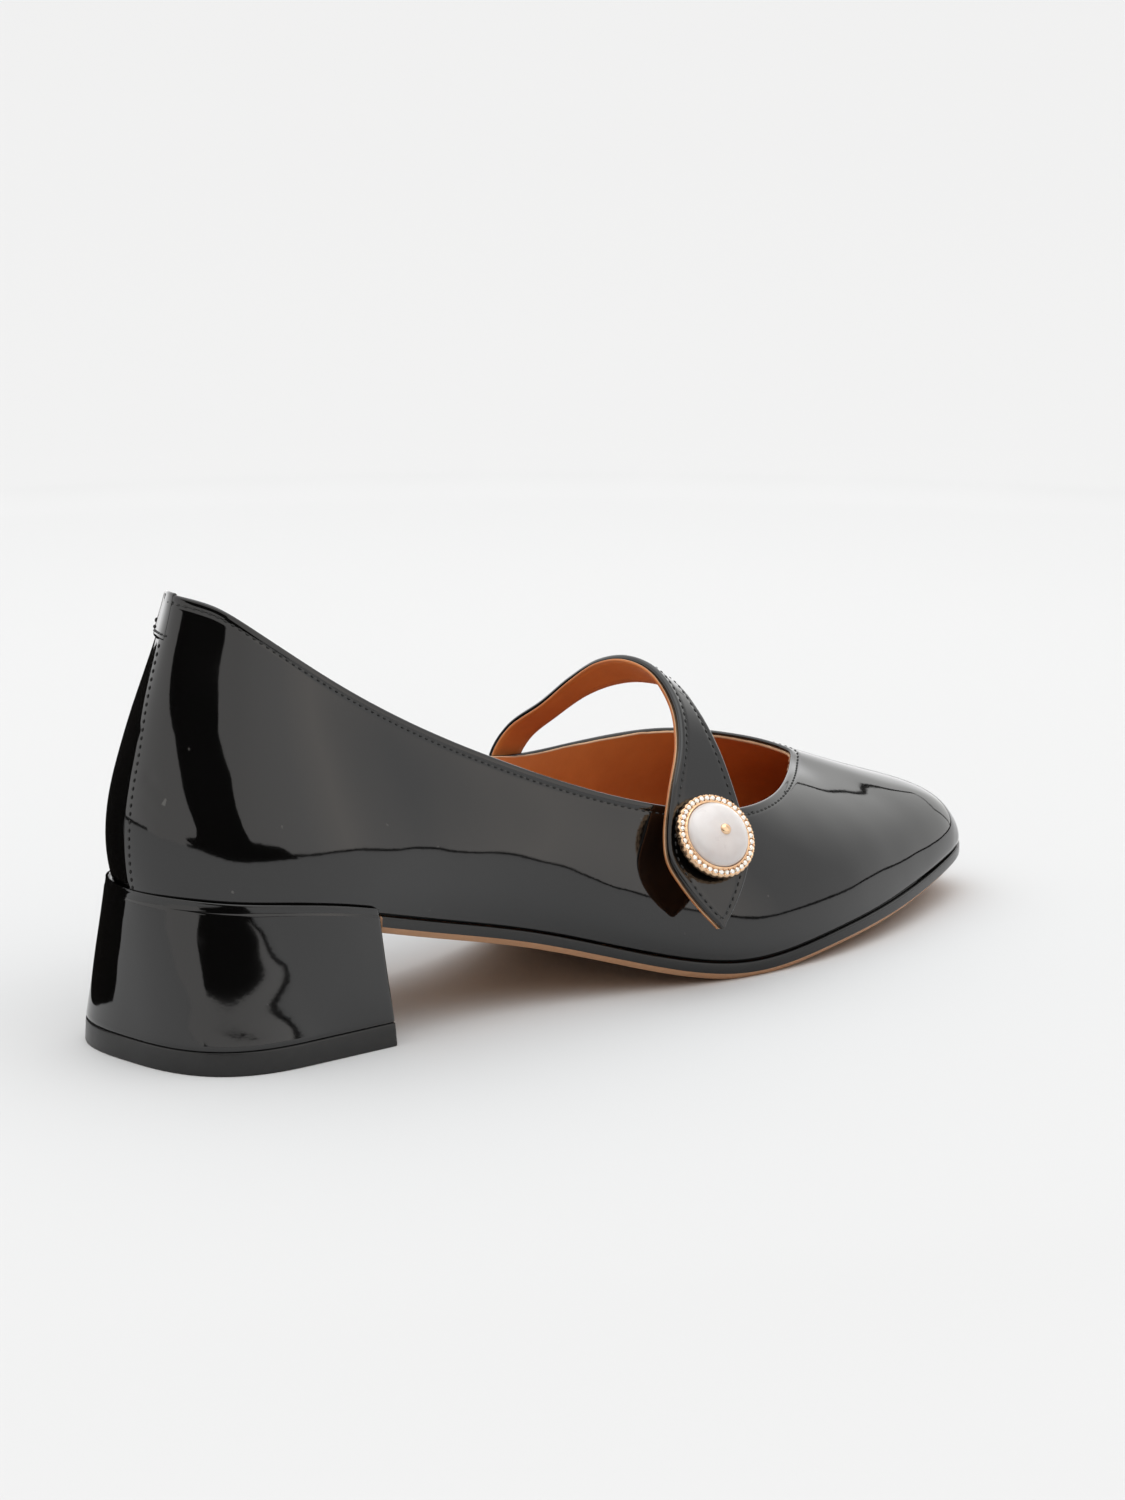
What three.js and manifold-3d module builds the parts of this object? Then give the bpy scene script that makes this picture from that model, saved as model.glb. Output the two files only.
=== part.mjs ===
// Mary jane pump, right shoe, as an assembly of separate solids.
// Millimetres, +Z up. Inside the shoe group x runs from the back of the heel to the toe, y to the inner side,
// and z up from the floor. The finished object has its origin at the middle of the top lift's ground face.
import * as THREE from "three";
import { mergeVertices } from "three/addons/utils/BufferGeometryUtils.js";
import Module from "manifold-3d";

const wasm = await Module();
wasm.setup();

// ---------------------------------------------------------------- driving dimensions
const LENGTH = 250;
const BALL_WIDTH = 76;
const HEEL_HEIGHT = 36.8;
const COLLAR_HEIGHT = 103.5;
const INSTEP_HEIGHT = 70;

// ---------------------------------------------------------------- construction sizes
const GAP = 0.3;
const UPPER_WALL = 1.8;
const FEATHER_INSET = 0.8;
const SOLE_EDGE = 2.4;
const SOLE_THICKNESS = 3.9;
const SOLE_BEVEL = 1.6;
const INSOLE_THICKNESS = 2.6;
const HEEL_BREAST = 49;
const HEEL_BREAST_SLANT = 1.0;
const HEEL_RIM = 1.8;
const HEEL_RIM_LEDGE = 0.8;
const LIFT_THICKNESS = 5.4;
const LIFT_HALF_WIDTH = 29.4;
const LIFT_BACK = -0.8;
const LIFT_BREAST = 52.4;
const LIFT_CORNER_POWER = 2.8;
const LIFT_FLARE = 0.06;
const STRAP_THICKNESS = 2.2;
const TAB_THICKNESS = 0.9;
const BEZEL_RADIUS = 10;
const PEARL_RADIUS = 7.7;

// ---------------------------------------------------------------- the last
// One row for each station from the centre back to the toe tip. x, outer and inner give the outline of the
// sole on its two sides, and sole its height. swell pushes the whole wall out. tuck pushes its foot out and
// draws its upper half in. crown is 0 where the wall goes straight up and 1 where it turns over into the vamp.
// x in % of LENGTH; outer and inner in % of BALL_WIDTH; sole in % of HEEL_HEIGHT; swell and tuck in mm.
const LAST_COLUMNS = [
  "x", "outer", "inner", "sole", "swellOuter", "swellInner", "tuckOuter", "tuckInner", "crown",
];
const LAST = [
  [0.6, 0.0, 0.0, 100.0, 2.5, 2.5, 1.2, 1.2, 0.0],
  [2.2, 17.8, 17.8, 99.3, 1.0, 2.4, 1.0, 2.3, 0.0],
  [6.6, 29.8, 29.8, 96.0, -0.2, 1.8, 0.9, -0.4, 0.0],
  [15.4, 35.2, 35.2, 87.2, 0.6, 1.6, 0.8, -0.6, 0.0],
  [26.4, 33.4, 30.5, 68.5, 2.5, 2.0, 0.3, -0.4, 0.0],
  [38.4, 35.0, 30.0, 48.0, 2.6, 2.4, -0.3, 0.1, 0.0],
  [49.6, 43.4, 38.8, 24.5, 1.3, 2.4, 0.6, 0.3, 0.05],
  [60.0, 50.0, 47.4, 10.1, 0.1, 2.0, 1.0, 0.2, 0.29],
  [70.4, 49.2, 50.0, 15.0, 0.8, 1.5, -0.6, -0.2, 0.35],
  [81.2, 40.1, 44.1, 20.8, 1.6, 1.3, -1.6, -0.4, 0.5],
  [91.0, 26.3, 31.0, 27.0, 2.4, 2.0, -0.8, -0.3, 0.8],
  [97.0, 14.0, 16.0, 31.0, 2.6, 2.3, -0.5, -0.2, 0.95],
  [98.8, 0.0, 0.0, 31.6, 2.5, 2.5, -1.1, -1.1, 0.95],
];

// The edge of the opening at the same stations: collar, topline and throat.
// x in % of LENGTH; y in % of BALL_WIDTH; z in % of COLLAR_HEIGHT.
const TOPLINE_COLUMNS = ["outerX", "outerY", "outerZ", "innerX", "innerY", "innerZ"];
const TOPLINE = [
  [5.8, 0.0, 99.4, 5.8, 0.0, 99.4],
  [7.0, 8.8, 98.2, 7.0, 8.8, 98.6],
  [9.6, 17.6, 93.4, 9.6, 17.6, 94.4],
  [17.4, 24.0, 79.8, 17.0, 27.0, 81.4],
  [28.0, 26.6, 64.9, 26.8, 31.8, 67.2],
  [40.1, 31.4, 51.2, 39.2, 36.4, 53.5],
  [50.1, 37.9, 42.2, 51.2, 41.0, 41.9],
  [59.1, 41.2, 37.3, 61.6, 41.0, 40.3],
  [67.4, 32.9, 36.0, 70.4, 35.0, 41.4],
  [73.0, 20.3, 36.9, 75.2, 25.2, 40.8],
  [76.3, 10.2, 37.4, 77.8, 14.8, 39.6],
  [78.0, 4.6, 38.1, 78.6, 6.9, 38.9],
  [78.6, 0.0, 38.5, 78.6, 0.0, 38.5],
];

// How the wall's section is drawn between the sole and the topline: six control points, each so far in (plan)
// and so far up (rise), for an upright wall and for a toe, and with its shares of the swell and the tuck.
const SECTION_COLUMNS = ["wallPlan", "wallRise", "toePlan", "toeRise", "swell", "tuck"];
const SECTION = [
  [0.0, 0.0, 0.0, 0.0, 0.0, 0.0],
  [0.0, 0.2, -0.03, -0.08, 0.8, 1.0],
  [0.1, 0.4, 0.11, 0.63, 1.0, 0.0],
  [0.36, 0.6, 0.25, 0.42, 0.6, -0.6],
  [0.68, 0.8, 0.54, 0.7, 0.0, -0.6],
  [1.0, 1.0, 1.0, 1.0, 0.0, 0.0],
];

// The strap's two edges, from its sewn end on the inner quarter, over the instep, to its point on the outer
// side.
// x in mm from the back of the heel; y in mm; z in % of INSTEP_HEIGHT.
const STRAP_COLUMNS = ["rearX", "rearY", "rearZ", "frontX", "frontY", "frontZ"];
const STRAP = [
  [133.0, 34.5, 33.0, 143.5, 36.5, 30.0],
  [133.5, 33.6, 47.0, 143.2, 34.7, 44.5],
  [134.6, 33.4, 60.0, 142.8, 33.6, 57.0],
  [137.0, 30.3, 69.5, 143.6, 30.3, 65.0],
  [139.4, 21.3, 79.4, 144.9, 22.3, 74.4],
  [140.6, 13.0, 89.2, 146.7, 13.9, 83.1],
  [141.6, 4.8, 96.9, 148.1, 5.8, 88.4],
  [142.3, -4.1, 100.2, 149.0, -3.3, 91.5],
  [142.6, -13.0, 98.0, 149.1, -13.4, 91.2],
  [141.0, -21.8, 89.0, 148.6, -22.1, 84.3],
  [137.0, -27.9, 77.9, 149.1, -28.1, 74.1],
  [130.9, -32.2, 64.6, 149.7, -33.2, 60.1],
  [127.3, -34.6, 52.8, 148.8, -37.5, 50.3],
  [125.4, -37.7, 45.0, 147.3, -40.9, 42.7],
  [126.6, -41.3, 37.4, 143.5, -43.5, 36.1],
  [129.6, -44.3, 29.6, 139.2, -45.0, 29.1],
  [133.5, -46.0, 22.9, 134.5, -46.0, 22.7],
];

// ---------------------------------------------------------------- small helpers
const namedRow = (row, names) => Object.fromEntries(row.map((value, i) => [names[i], value]));
const namedRows = (table, names) => table.map((row) => namedRow(row, names));
const scaled = (rows, name, scale) => rows.map((row) => row[name] * scale);
const mix = (a, b, t) => a + (b - a) * t;

// A smooth closed curve of plain numbers through the given values, one unit of t apart.
function closedSpline(values) {
  const count = values.length;
  const knots = [...values];
  const settle = 60;
  for (let pass = 0; pass < settle; pass++) {
    for (let i = 0; i < count; i++) {
      const before = knots[(i + count - 1) % count];
      const after = knots[(i + 1) % count];
      knots[i] = (6 * values[i] - before - after) / 4;
    }
  }
  return (t) => {
    const turn = ((t % count) + count) % count;
    const i = Math.floor(turn);
    const f = turn - i;
    const at = (k) => knots[(i + k + count) % count];
    const a = (1 - f) ** 3;
    const b = 3 * f ** 3 - 6 * f ** 2 + 4;
    const c = -3 * f ** 3 + 3 * f ** 2 + 3 * f + 1;
    return (a * at(-1) + b * at(0) + c * at(1) + f ** 3 * at(2)) / 6;
  };
}

// The outer column down to the toe, then the inner column back to the heel: one closed loop of values.
function aroundShoe(outerValues, innerValues) {
  const back = innerValues.slice(1, -1).reverse();
  return [...outerValues, ...back];
}

const STATIONS = LAST.length - 1;
const LOOP = 2 * STATIONS;

const LAST_ROWS = namedRows(LAST, LAST_COLUMNS);
const TOPLINE_ROWS = namedRows(TOPLINE, TOPLINE_COLUMNS);
const SECTION_ROWS = namedRows(SECTION, SECTION_COLUMNS);
const STRAP_ROWS = namedRows(STRAP, STRAP_COLUMNS);

// One closed loop of a quantity that has its own column for each side, and its own scale for each side.
function loopOf(rows, outerName, innerName, outerScale, innerScale = outerScale) {
  return closedSpline(aroundShoe(scaled(rows, outerName, outerScale), scaled(rows, innerName, innerScale)));
}

const PERCENT = 1 / 100;
const outlineX = loopOf(LAST_ROWS, "x", "x", LENGTH * PERCENT);
const outlineY = loopOf(LAST_ROWS, "outer", "inner", -BALL_WIDTH * PERCENT, BALL_WIDTH * PERCENT);
const soleHeight = loopOf(LAST_ROWS, "sole", "sole", HEEL_HEIGHT * PERCENT);
const swellLoop = loopOf(LAST_ROWS, "swellOuter", "swellInner", 1);
const tuckLoop = loopOf(LAST_ROWS, "tuckOuter", "tuckInner", 1);
const crownLoop = loopOf(LAST_ROWS, "crown", "crown", 1);
const topX = loopOf(TOPLINE_ROWS, "outerX", "innerX", LENGTH * PERCENT);
const topY = loopOf(TOPLINE_ROWS, "outerY", "innerY", -BALL_WIDTH * PERCENT, BALL_WIDTH * PERCENT);
const topZ = loopOf(TOPLINE_ROWS, "outerZ", "innerZ", COLLAR_HEIGHT * PERCENT);

// Direction straight out of the outline in plan, at station t.
function outward(t) {
  const step = 0.01;
  const dx = outlineX(t + step) - outlineX(t - step);
  const dy = outlineY(t + step) - outlineY(t - step);
  return new THREE.Vector3(dy, -dx, 0).normalize();
}

// A point of the sole's outline, moved out by so much in plan and up by so much.
function outlinePoint(t, out = 0, up = 0) {
  const point = new THREE.Vector3(outlineX(t), outlineY(t), soleHeight(t) + up);
  return point.addScaledVector(outward(t), out);
}

// ---------------------------------------------------------------- the upper's own surface
const BINOMIAL = [1, 5, 10, 10, 5, 1];

// t is the station around the shoe, v goes from the feather edge at 0 to the topline at 1.
function upperPoint(t, v) {
  const foot = outlinePoint(t, -FEATHER_INSET, GAP);
  const top = new THREE.Vector3(topX(t), topY(t), topZ(t));
  const crown = crownLoop(t);
  const normal = outward(t);
  const point = new THREE.Vector3();
  SECTION_ROWS.forEach((row, k) => {
    const plan = mix(row.wallPlan, row.toePlan, crown);
    const rise = mix(row.wallRise, row.toeRise, crown);
    const control = foot.clone().lerp(top, plan);
    control.z = mix(foot.z, top.z, rise);
    control.addScaledVector(normal, swellLoop(t) * row.swell + tuckLoop(t) * row.tuck);
    point.addScaledVector(control, BINOMIAL[k] * v ** k * (1 - v) ** (5 - k));
  });
  return point;
}

function upperNormal(t, v) {
  const step = 0.01;
  const low = Math.max(v - step, 0);
  const high = Math.min(v + step, 1);
  const along = upperPoint(t + step, v).sub(upperPoint(t - step, v));
  const upward = upperPoint(t, high).sub(upperPoint(t, low));
  return along.cross(upward).normalize();
}

const upperOffset = (t, v, out) => upperPoint(t, v).addScaledVector(upperNormal(t, v), out);

// ---------------------------------------------------------------- solids from rings and slabs
// Rings of equal length are joined side by side. Ends are closed by rungs from side to side, or the last ring
// joins the first, as on a shell that is open at the top and underneath.
function ringSolid(rings, joinEnds) {
  const size = rings[0].length;
  const positions = rings.flat().flatMap((point) => [point.x, point.y, point.z]);
  const index = [];
  const quad = (a, b, c, d) => index.push(a, b, c, a, c, d);
  const bands = joinEnds ? rings.length : rings.length - 1;
  for (let band = 0; band < bands; band++) {
    const low = band * size;
    const high = ((band + 1) % rings.length) * size;
    for (let i = 0; i < size; i++) {
      const next = (i + 1) % size;
      quad(low + i, low + next, high + next, high + i);
    }
  }
  if (!joinEnds) {
    const top = (rings.length - 1) * size;
    for (let i = 0; i < size / 2 - 1; i++) {
      quad(size - 1 - i, size - 2 - i, i + 1, i);
      quad(top + i, top + i + 1, top + size - 2 - i, top + size - 1 - i);
    }
  }
  const geometry = new THREE.BufferGeometry();
  geometry.setAttribute("position", new THREE.Float32BufferAttribute(positions, 3));
  geometry.setIndex(index);
  return geometry;
}

// Stations that run the whole way round, the same on both sides of the centre line.
function stationsAround(count) {
  return Array.from({ length: count }, (_, i) => ((i + 0.5) / count) * LOOP);
}

// The station on the outer side whose outline lies at distance x from the back of the heel.
function stationAt(x) {
  let low = 0;
  let high = STATIONS;
  const halvings = 40;
  for (let pass = 0; pass < halvings; pass++) {
    const middle = (low + high) / 2;
    if (outlineX(middle) < x) low = middle;
    else high = middle;
  }
  return low;
}

// A slab between two surfaces, each a function of (a, b) from 0 to 1, the outer one first.
function slabSolid(outer, inner, columns, rows) {
  const sections = [];
  for (let i = 0; i <= columns; i++) {
    const a = i / columns;
    const section = [];
    for (let j = 0; j <= rows; j++) section.push(outer(a, j / rows));
    for (let j = rows; j >= 0; j--) section.push(inner(a, j / rows));
    sections.push(section);
  }
  return ringSolid(sections, false);
}

function toManifold(geometry) {
  const bare = geometry.clone();
  bare.deleteAttribute("normal");
  bare.deleteAttribute("uv");
  const merged = mergeVertices(bare, 1e-4);
  const vertProperties = new Float32Array(merged.getAttribute("position").array);
  const triVerts = new Uint32Array(merged.getIndex().array);
  return new wasm.Manifold(new wasm.Mesh({ numProp: 3, vertProperties, triVerts }));
}

function fromManifold(solid) {
  const mesh = solid.getMesh();
  const geometry = new THREE.BufferGeometry();
  geometry.setAttribute("position", new THREE.Float32BufferAttribute(mesh.vertProperties, 3));
  geometry.setIndex([...mesh.triVerts]);
  return geometry;
}

function namedMesh(name, geometry, colour, roughness, metalness) {
  geometry.computeVertexNormals();
  const material = new THREE.MeshStandardMaterial({ color: colour, roughness, metalness });
  const mesh = new THREE.Mesh(geometry, material);
  mesh.name = name;
  return mesh;
}

// ---------------------------------------------------------------- upper
const UPPER_COLUMNS = 72;
const UPPER_ROWS = 10;

function upperGeometry() {
  const stations = stationsAround(UPPER_COLUMNS);
  const rings = [];
  for (let row = 0; row <= UPPER_ROWS; row++) {
    rings.push(stations.map((t) => upperOffset(t, row / UPPER_ROWS, 0)));
  }
  for (let row = UPPER_ROWS; row >= 0; row--) {
    rings.push(stations.map((t) => upperOffset(t, row / UPPER_ROWS, -UPPER_WALL)));
  }
  return ringSolid(rings, true);
}

// ---------------------------------------------------------------- outsole
const SOLE_COLUMNS = 64;

// The underside never goes below the floor: that gives the ball of the foot its flat spot.
function underside(t, out) {
  const point = outlinePoint(t, out, -SOLE_THICKNESS);
  point.z = Math.max(point.z, 0);
  return point;
}

function outsoleGeometry() {
  const first = stationAt(HEEL_BREAST + HEEL_BREAST_SLANT + GAP);
  const last = LOOP - first;
  const stations = Array.from({ length: SOLE_COLUMNS }, (_, i) => mix(first, last, i / (SOLE_COLUMNS - 1)));
  const rings = [
    stations.map((t) => underside(t, -SOLE_BEVEL)),
    stations.map((t) => outlinePoint(t, 0, -SOLE_EDGE)),
    stations.map((t) => outlinePoint(t, 0, 0)),
  ];
  return ringSolid(rings, false);
}

// ---------------------------------------------------------------- insole
const INSOLE_COLUMNS = 56;

function insoleGeometry() {
  const stations = stationsAround(INSOLE_COLUMNS);
  const clearance = FEATHER_INSET + UPPER_WALL + 2 * GAP;
  const rings = [
    stations.map((t) => outlinePoint(t, -clearance, GAP)),
    stations.map((t) => outlinePoint(t, -clearance, GAP + INSOLE_THICKNESS)),
  ];
  return ringSolid(rings, false);
}

// ---------------------------------------------------------------- heel and top lift
const HEEL_COLUMNS = 40;

// The share of the outline that runs straight forward to the breast on each side.
const LIFT_STRAIGHT = 0.18;

// The lift's outline: a rounded back, full sides, and a straight breast. s runs from 0 at the outer corner of
// the breast round the back to 1 at the inner corner.
function liftPoint(s, height) {
  const inward = height * LIFT_FLARE;
  const middle = LIFT_BACK + LIFT_HALF_WIDTH;
  const breast = LIFT_BREAST - inward;
  const halfWidth = LIFT_HALF_WIDTH - inward;
  const fromEnd = Math.min(s, 1 - s);
  if (fromEnd < LIFT_STRAIGHT) {
    const side = s < 0.5 ? -halfWidth : halfWidth;
    return new THREE.Vector3(mix(breast, middle, fromEnd / LIFT_STRAIGHT), side, height);
  }
  const angle = ((s - LIFT_STRAIGHT) / (1 - 2 * LIFT_STRAIGHT)) * Math.PI;
  const power = 2 / LIFT_CORNER_POWER;
  const side = -Math.sign(Math.cos(angle));
  const across = side * Math.abs(Math.cos(angle)) ** power * halfWidth;
  const back = Math.sin(angle) ** power * (middle - LIFT_BACK - inward / 2);
  return new THREE.Vector3(middle - back, across, height);
}

// Even places along the heel's outline, from one corner of the breast to the other.
function heelPlaces() {
  return Array.from({ length: HEEL_COLUMNS }, (_, i) => i / (HEEL_COLUMNS - 1));
}

function heelStations() {
  const first = stationAt(HEEL_BREAST);
  return heelPlaces().map((s) => mix(first, -first, s));
}

function heelBlock() {
  const foot = heelPlaces().map((s) => liftPoint(s, LIFT_THICKNESS + GAP));
  const rim = heelStations().map((t) => outlinePoint(t, HEEL_RIM_LEDGE, HEEL_RIM));
  return ringSolid([rim, foot], false);
}

// How far up the upper's wall the room for it is cut.
const SEAT_LEVELS = [0.0, 0.08, 0.2];

// The room that the lasted upper takes in the heel's seat.
function seatRoom() {
  const stations = stationsAround(UPPER_COLUMNS);
  const rings = [
    stations.map((t) => outlinePoint(t, GAP - FEATHER_INSET, 0)),
    ...SEAT_LEVELS.map((v) => stations.map((t) => upperOffset(t, v, GAP))),
  ];
  return ringSolid(rings, false);
}

function heelGeometry() {
  return fromManifold(toManifold(heelBlock()).subtract(toManifold(seatRoom())));
}

function topLiftGeometry() {
  const rings = [
    heelPlaces().map((s) => liftPoint(s, LIFT_THICKNESS)),
    heelPlaces().map((s) => liftPoint(s, 0)),
  ];
  return ringSolid(rings, false);
}

// ---------------------------------------------------------------- back tab
// It lies over the upper from the centre back to the middle of the inner quarter. Stations, and heights of the
// wall: its lower edge is level at the centre back and curves up towards the topline at its far end.
const BACK_TAB_OUTER_END = 0.02;
const BACK_TAB_INNER_END = -1.62;
const BACK_TAB_LOW = 0.842;
const BACK_TAB_FAR_LOW = 0.96;
const BACK_TAB_CURVED_SHARE = 0.42;

function backTabGeometry() {
  const surface = (out) => (a, b) => {
    const t = mix(BACK_TAB_OUTER_END, BACK_TAB_INNER_END, a);
    const curve = 1 - Math.sqrt(Math.min(1, (1 - a) / BACK_TAB_CURVED_SHARE));
    const bottom = mix(BACK_TAB_LOW, BACK_TAB_FAR_LOW, curve);
    return upperOffset(t, mix(bottom, 1, b), out);
  };
  return slabSolid(surface(GAP + TAB_THICKNESS), surface(GAP), 14, 2);
}

// ---------------------------------------------------------------- strap
const STRAP_SECTIONS = 48;

function strapEdge(xName, yName, zName) {
  const scale = INSTEP_HEIGHT * PERCENT;
  return new THREE.CatmullRomCurve3(
    STRAP_ROWS.map((row) => new THREE.Vector3(row[xName], row[yName], row[zName] * scale)),
  );
}

function strapGeometry() {
  const rear = strapEdge("rearX", "rearY", "rearZ");
  const front = strapEdge("frontX", "frontY", "frontZ");
  const middle = (a, b) => rear.getPoint(a).lerp(front.getPoint(a), b);
  const surface = (out) => (a, b) => {
    const step = 0.004;
    const along = middle(Math.min(a + step, 1), b).sub(middle(Math.max(a - step, 0), b));
    const across = middle(a, 1).sub(middle(a, 0));
    const normal = across.cross(along).normalize();
    return middle(a, b).addScaledVector(normal, out);
  };
  return slabSolid(surface(STRAP_THICKNESS / 2), surface(-STRAP_THICKNESS / 2), STRAP_SECTIONS, 2);
}

// ---------------------------------------------------------------- button
const BUTTON_CENTRE = new THREE.Vector3(137.3, -39.4, 35.1);
const BUTTON_FACING = new THREE.Vector3(-0.09, -0.835, 0.54).normalize();
const BEZEL_SIDES = 40;
const BEZEL_FLOOR = 1.2;
const PEARL_SIDES = 32;
const PEARL_WALL = 0.6;
const PEARL_DOME = 3.6;

function placeOnTab(mesh) {
  mesh.position.copy(BUTTON_CENTRE);
  mesh.quaternion.setFromUnitVectors(new THREE.Vector3(0, 1, 0), BUTTON_FACING);
  return mesh;
}

// The bezel's profile, from the middle of its back, over its rim, to the middle of its floor.
function bezelGeometry() {
  const inner = PEARL_RADIUS + GAP;
  const profile = [
    new THREE.Vector2(0, 0),
    new THREE.Vector2(BEZEL_RADIUS - 0.5, 0),
    new THREE.Vector2(BEZEL_RADIUS, 0.6),
    new THREE.Vector2(BEZEL_RADIUS - 0.4, 1.6),
    new THREE.Vector2(inner, 2 * BEZEL_FLOOR),
    new THREE.Vector2(inner, BEZEL_FLOOR),
    new THREE.Vector2(0, BEZEL_FLOOR),
  ];
  return new THREE.LatheGeometry(profile, BEZEL_SIDES);
}

function pearlGeometry() {
  const low = BEZEL_FLOOR + GAP;
  const profile = [new THREE.Vector2(0, low), new THREE.Vector2(PEARL_RADIUS, low)];
  const steps = 6;
  for (let i = 0; i <= steps; i++) {
    const angle = (i / steps) * (Math.PI / 2);
    const radius = i === steps ? 0 : PEARL_RADIUS * Math.cos(angle);
    profile.push(new THREE.Vector2(radius, low + PEARL_WALL + PEARL_DOME * Math.sin(angle)));
  }
  return new THREE.LatheGeometry(profile, PEARL_SIDES);
}

// ---------------------------------------------------------------- assembly
const shoe = new THREE.Group();
shoe.position.x = -(LIFT_BACK + LIFT_BREAST) / 2;
shoe.add(namedMesh("outsole", outsoleGeometry(), 0xb98a5e, 0.6, 0));
shoe.add(namedMesh("upper", upperGeometry(), 0x0b0b0c, 0.08, 0));
shoe.add(namedMesh("insole", insoleGeometry(), 0xb5652f, 0.5, 0));
shoe.add(namedMesh("heel", heelGeometry(), 0x0b0b0c, 0.08, 0));
shoe.add(namedMesh("top_lift", topLiftGeometry(), 0x121212, 0.5, 0));
shoe.add(namedMesh("back_tab", backTabGeometry(), 0x0b0b0c, 0.08, 0));
shoe.add(namedMesh("strap", strapGeometry(), 0x0b0b0c, 0.08, 0));
shoe.add(placeOnTab(namedMesh("button_bezel", bezelGeometry(), 0xcaa667, 0.25, 1)));
shoe.add(placeOnTab(namedMesh("button_pearl", pearlGeometry(), 0xe9e7e4, 0.2, 0)));

const pump = new THREE.Group();
pump.add(shoe);
export default pump;
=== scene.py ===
# %% [markdown]
# # A black patent pump with a strap and a pearl button
# The shoe is built the way a maker builds it: a lasted upper of patent leather with a tan lining, a leather
# sole, a covered block heel with a rubber lift, and a strap that buttons on the outer side. The solids that
# carry the sizes are loaded first, and nothing here moves them. Every finer surface is drawn over them.

# %% Load the construction
import math
import bmesh
import bpy
import numpy as np
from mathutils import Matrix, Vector


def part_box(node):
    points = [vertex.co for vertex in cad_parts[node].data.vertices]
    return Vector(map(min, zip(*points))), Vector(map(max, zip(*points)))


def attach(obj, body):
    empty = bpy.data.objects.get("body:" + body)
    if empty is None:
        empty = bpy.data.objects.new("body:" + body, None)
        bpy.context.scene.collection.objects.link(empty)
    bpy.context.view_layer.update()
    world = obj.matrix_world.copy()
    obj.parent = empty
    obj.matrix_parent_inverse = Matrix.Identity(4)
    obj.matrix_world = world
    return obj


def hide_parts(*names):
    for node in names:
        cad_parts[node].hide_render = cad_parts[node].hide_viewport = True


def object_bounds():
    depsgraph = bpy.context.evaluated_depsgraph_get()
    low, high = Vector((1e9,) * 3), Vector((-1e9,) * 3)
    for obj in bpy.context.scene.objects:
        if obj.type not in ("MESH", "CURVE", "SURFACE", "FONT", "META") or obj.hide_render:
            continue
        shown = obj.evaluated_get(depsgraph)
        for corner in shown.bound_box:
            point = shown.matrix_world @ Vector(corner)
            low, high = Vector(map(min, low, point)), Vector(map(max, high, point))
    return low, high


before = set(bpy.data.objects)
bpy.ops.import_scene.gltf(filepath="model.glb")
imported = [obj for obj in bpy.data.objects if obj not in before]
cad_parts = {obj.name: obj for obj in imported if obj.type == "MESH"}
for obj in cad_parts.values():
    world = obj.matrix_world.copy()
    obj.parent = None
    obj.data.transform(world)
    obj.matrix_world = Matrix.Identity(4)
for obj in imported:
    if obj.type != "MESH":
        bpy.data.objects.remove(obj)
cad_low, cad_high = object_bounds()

print("construction nodes:", sorted(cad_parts))

# %% [markdown]
# ## Camera
# It stands behind the shoe on its outer side, a little above the floor, with a long lens. A long lens keeps the
# heel and the toe at almost the same scale, as in a catalogue picture. It comes first so that everything after
# it can be judged through it.

# %% Camera
CAMERA_PLACE = Vector((-1.3565, -1.635, 0.576))
LENS_MM = 238
shoe_middle = (cad_low + cad_high) / 2
camera_data = bpy.data.cameras.new("catalogue_camera")
camera_data.lens = LENS_MM
camera_data.clip_end = 50
camera = bpy.data.objects.new("catalogue_camera", camera_data)
camera.location = CAMERA_PLACE
camera.rotation_mode = "QUATERNION"
camera.rotation_quaternion = (shoe_middle - CAMERA_PLACE).to_track_quat("-Z", "Y")
bpy.context.scene.collection.objects.link(camera)
bpy.context.scene.camera = camera
print("camera distance, m:", round((shoe_middle - CAMERA_PLACE).length, 3))

# %% [markdown]
# ## The last, in numbers
# A shoe is drawn over a last. The same tables that shape the solids are used here, because patent leather is a
# mirror: a mesh that was merely close would show every facet. x runs from the back of the heel to the toe, y to
# the inner side, z up, all in millimetres until the very end.

# %% Driving sizes, mm
LENGTH = 250
BALL_WIDTH = 76
HEEL_HEIGHT = 36.8
COLLAR_HEIGHT = 103.5
INSTEP_HEIGHT = 70
GAP = 0.3
FEATHER_INSET = 0.8
UPPER_WALL = 1.8
INSOLE_THICKNESS = 2.6
LIFT_THICKNESS = 5.4
LIFT_BACK = -0.8
MM = 0.001
heel_back_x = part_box("top_lift")[0].x / MM - LIFT_BACK

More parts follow.
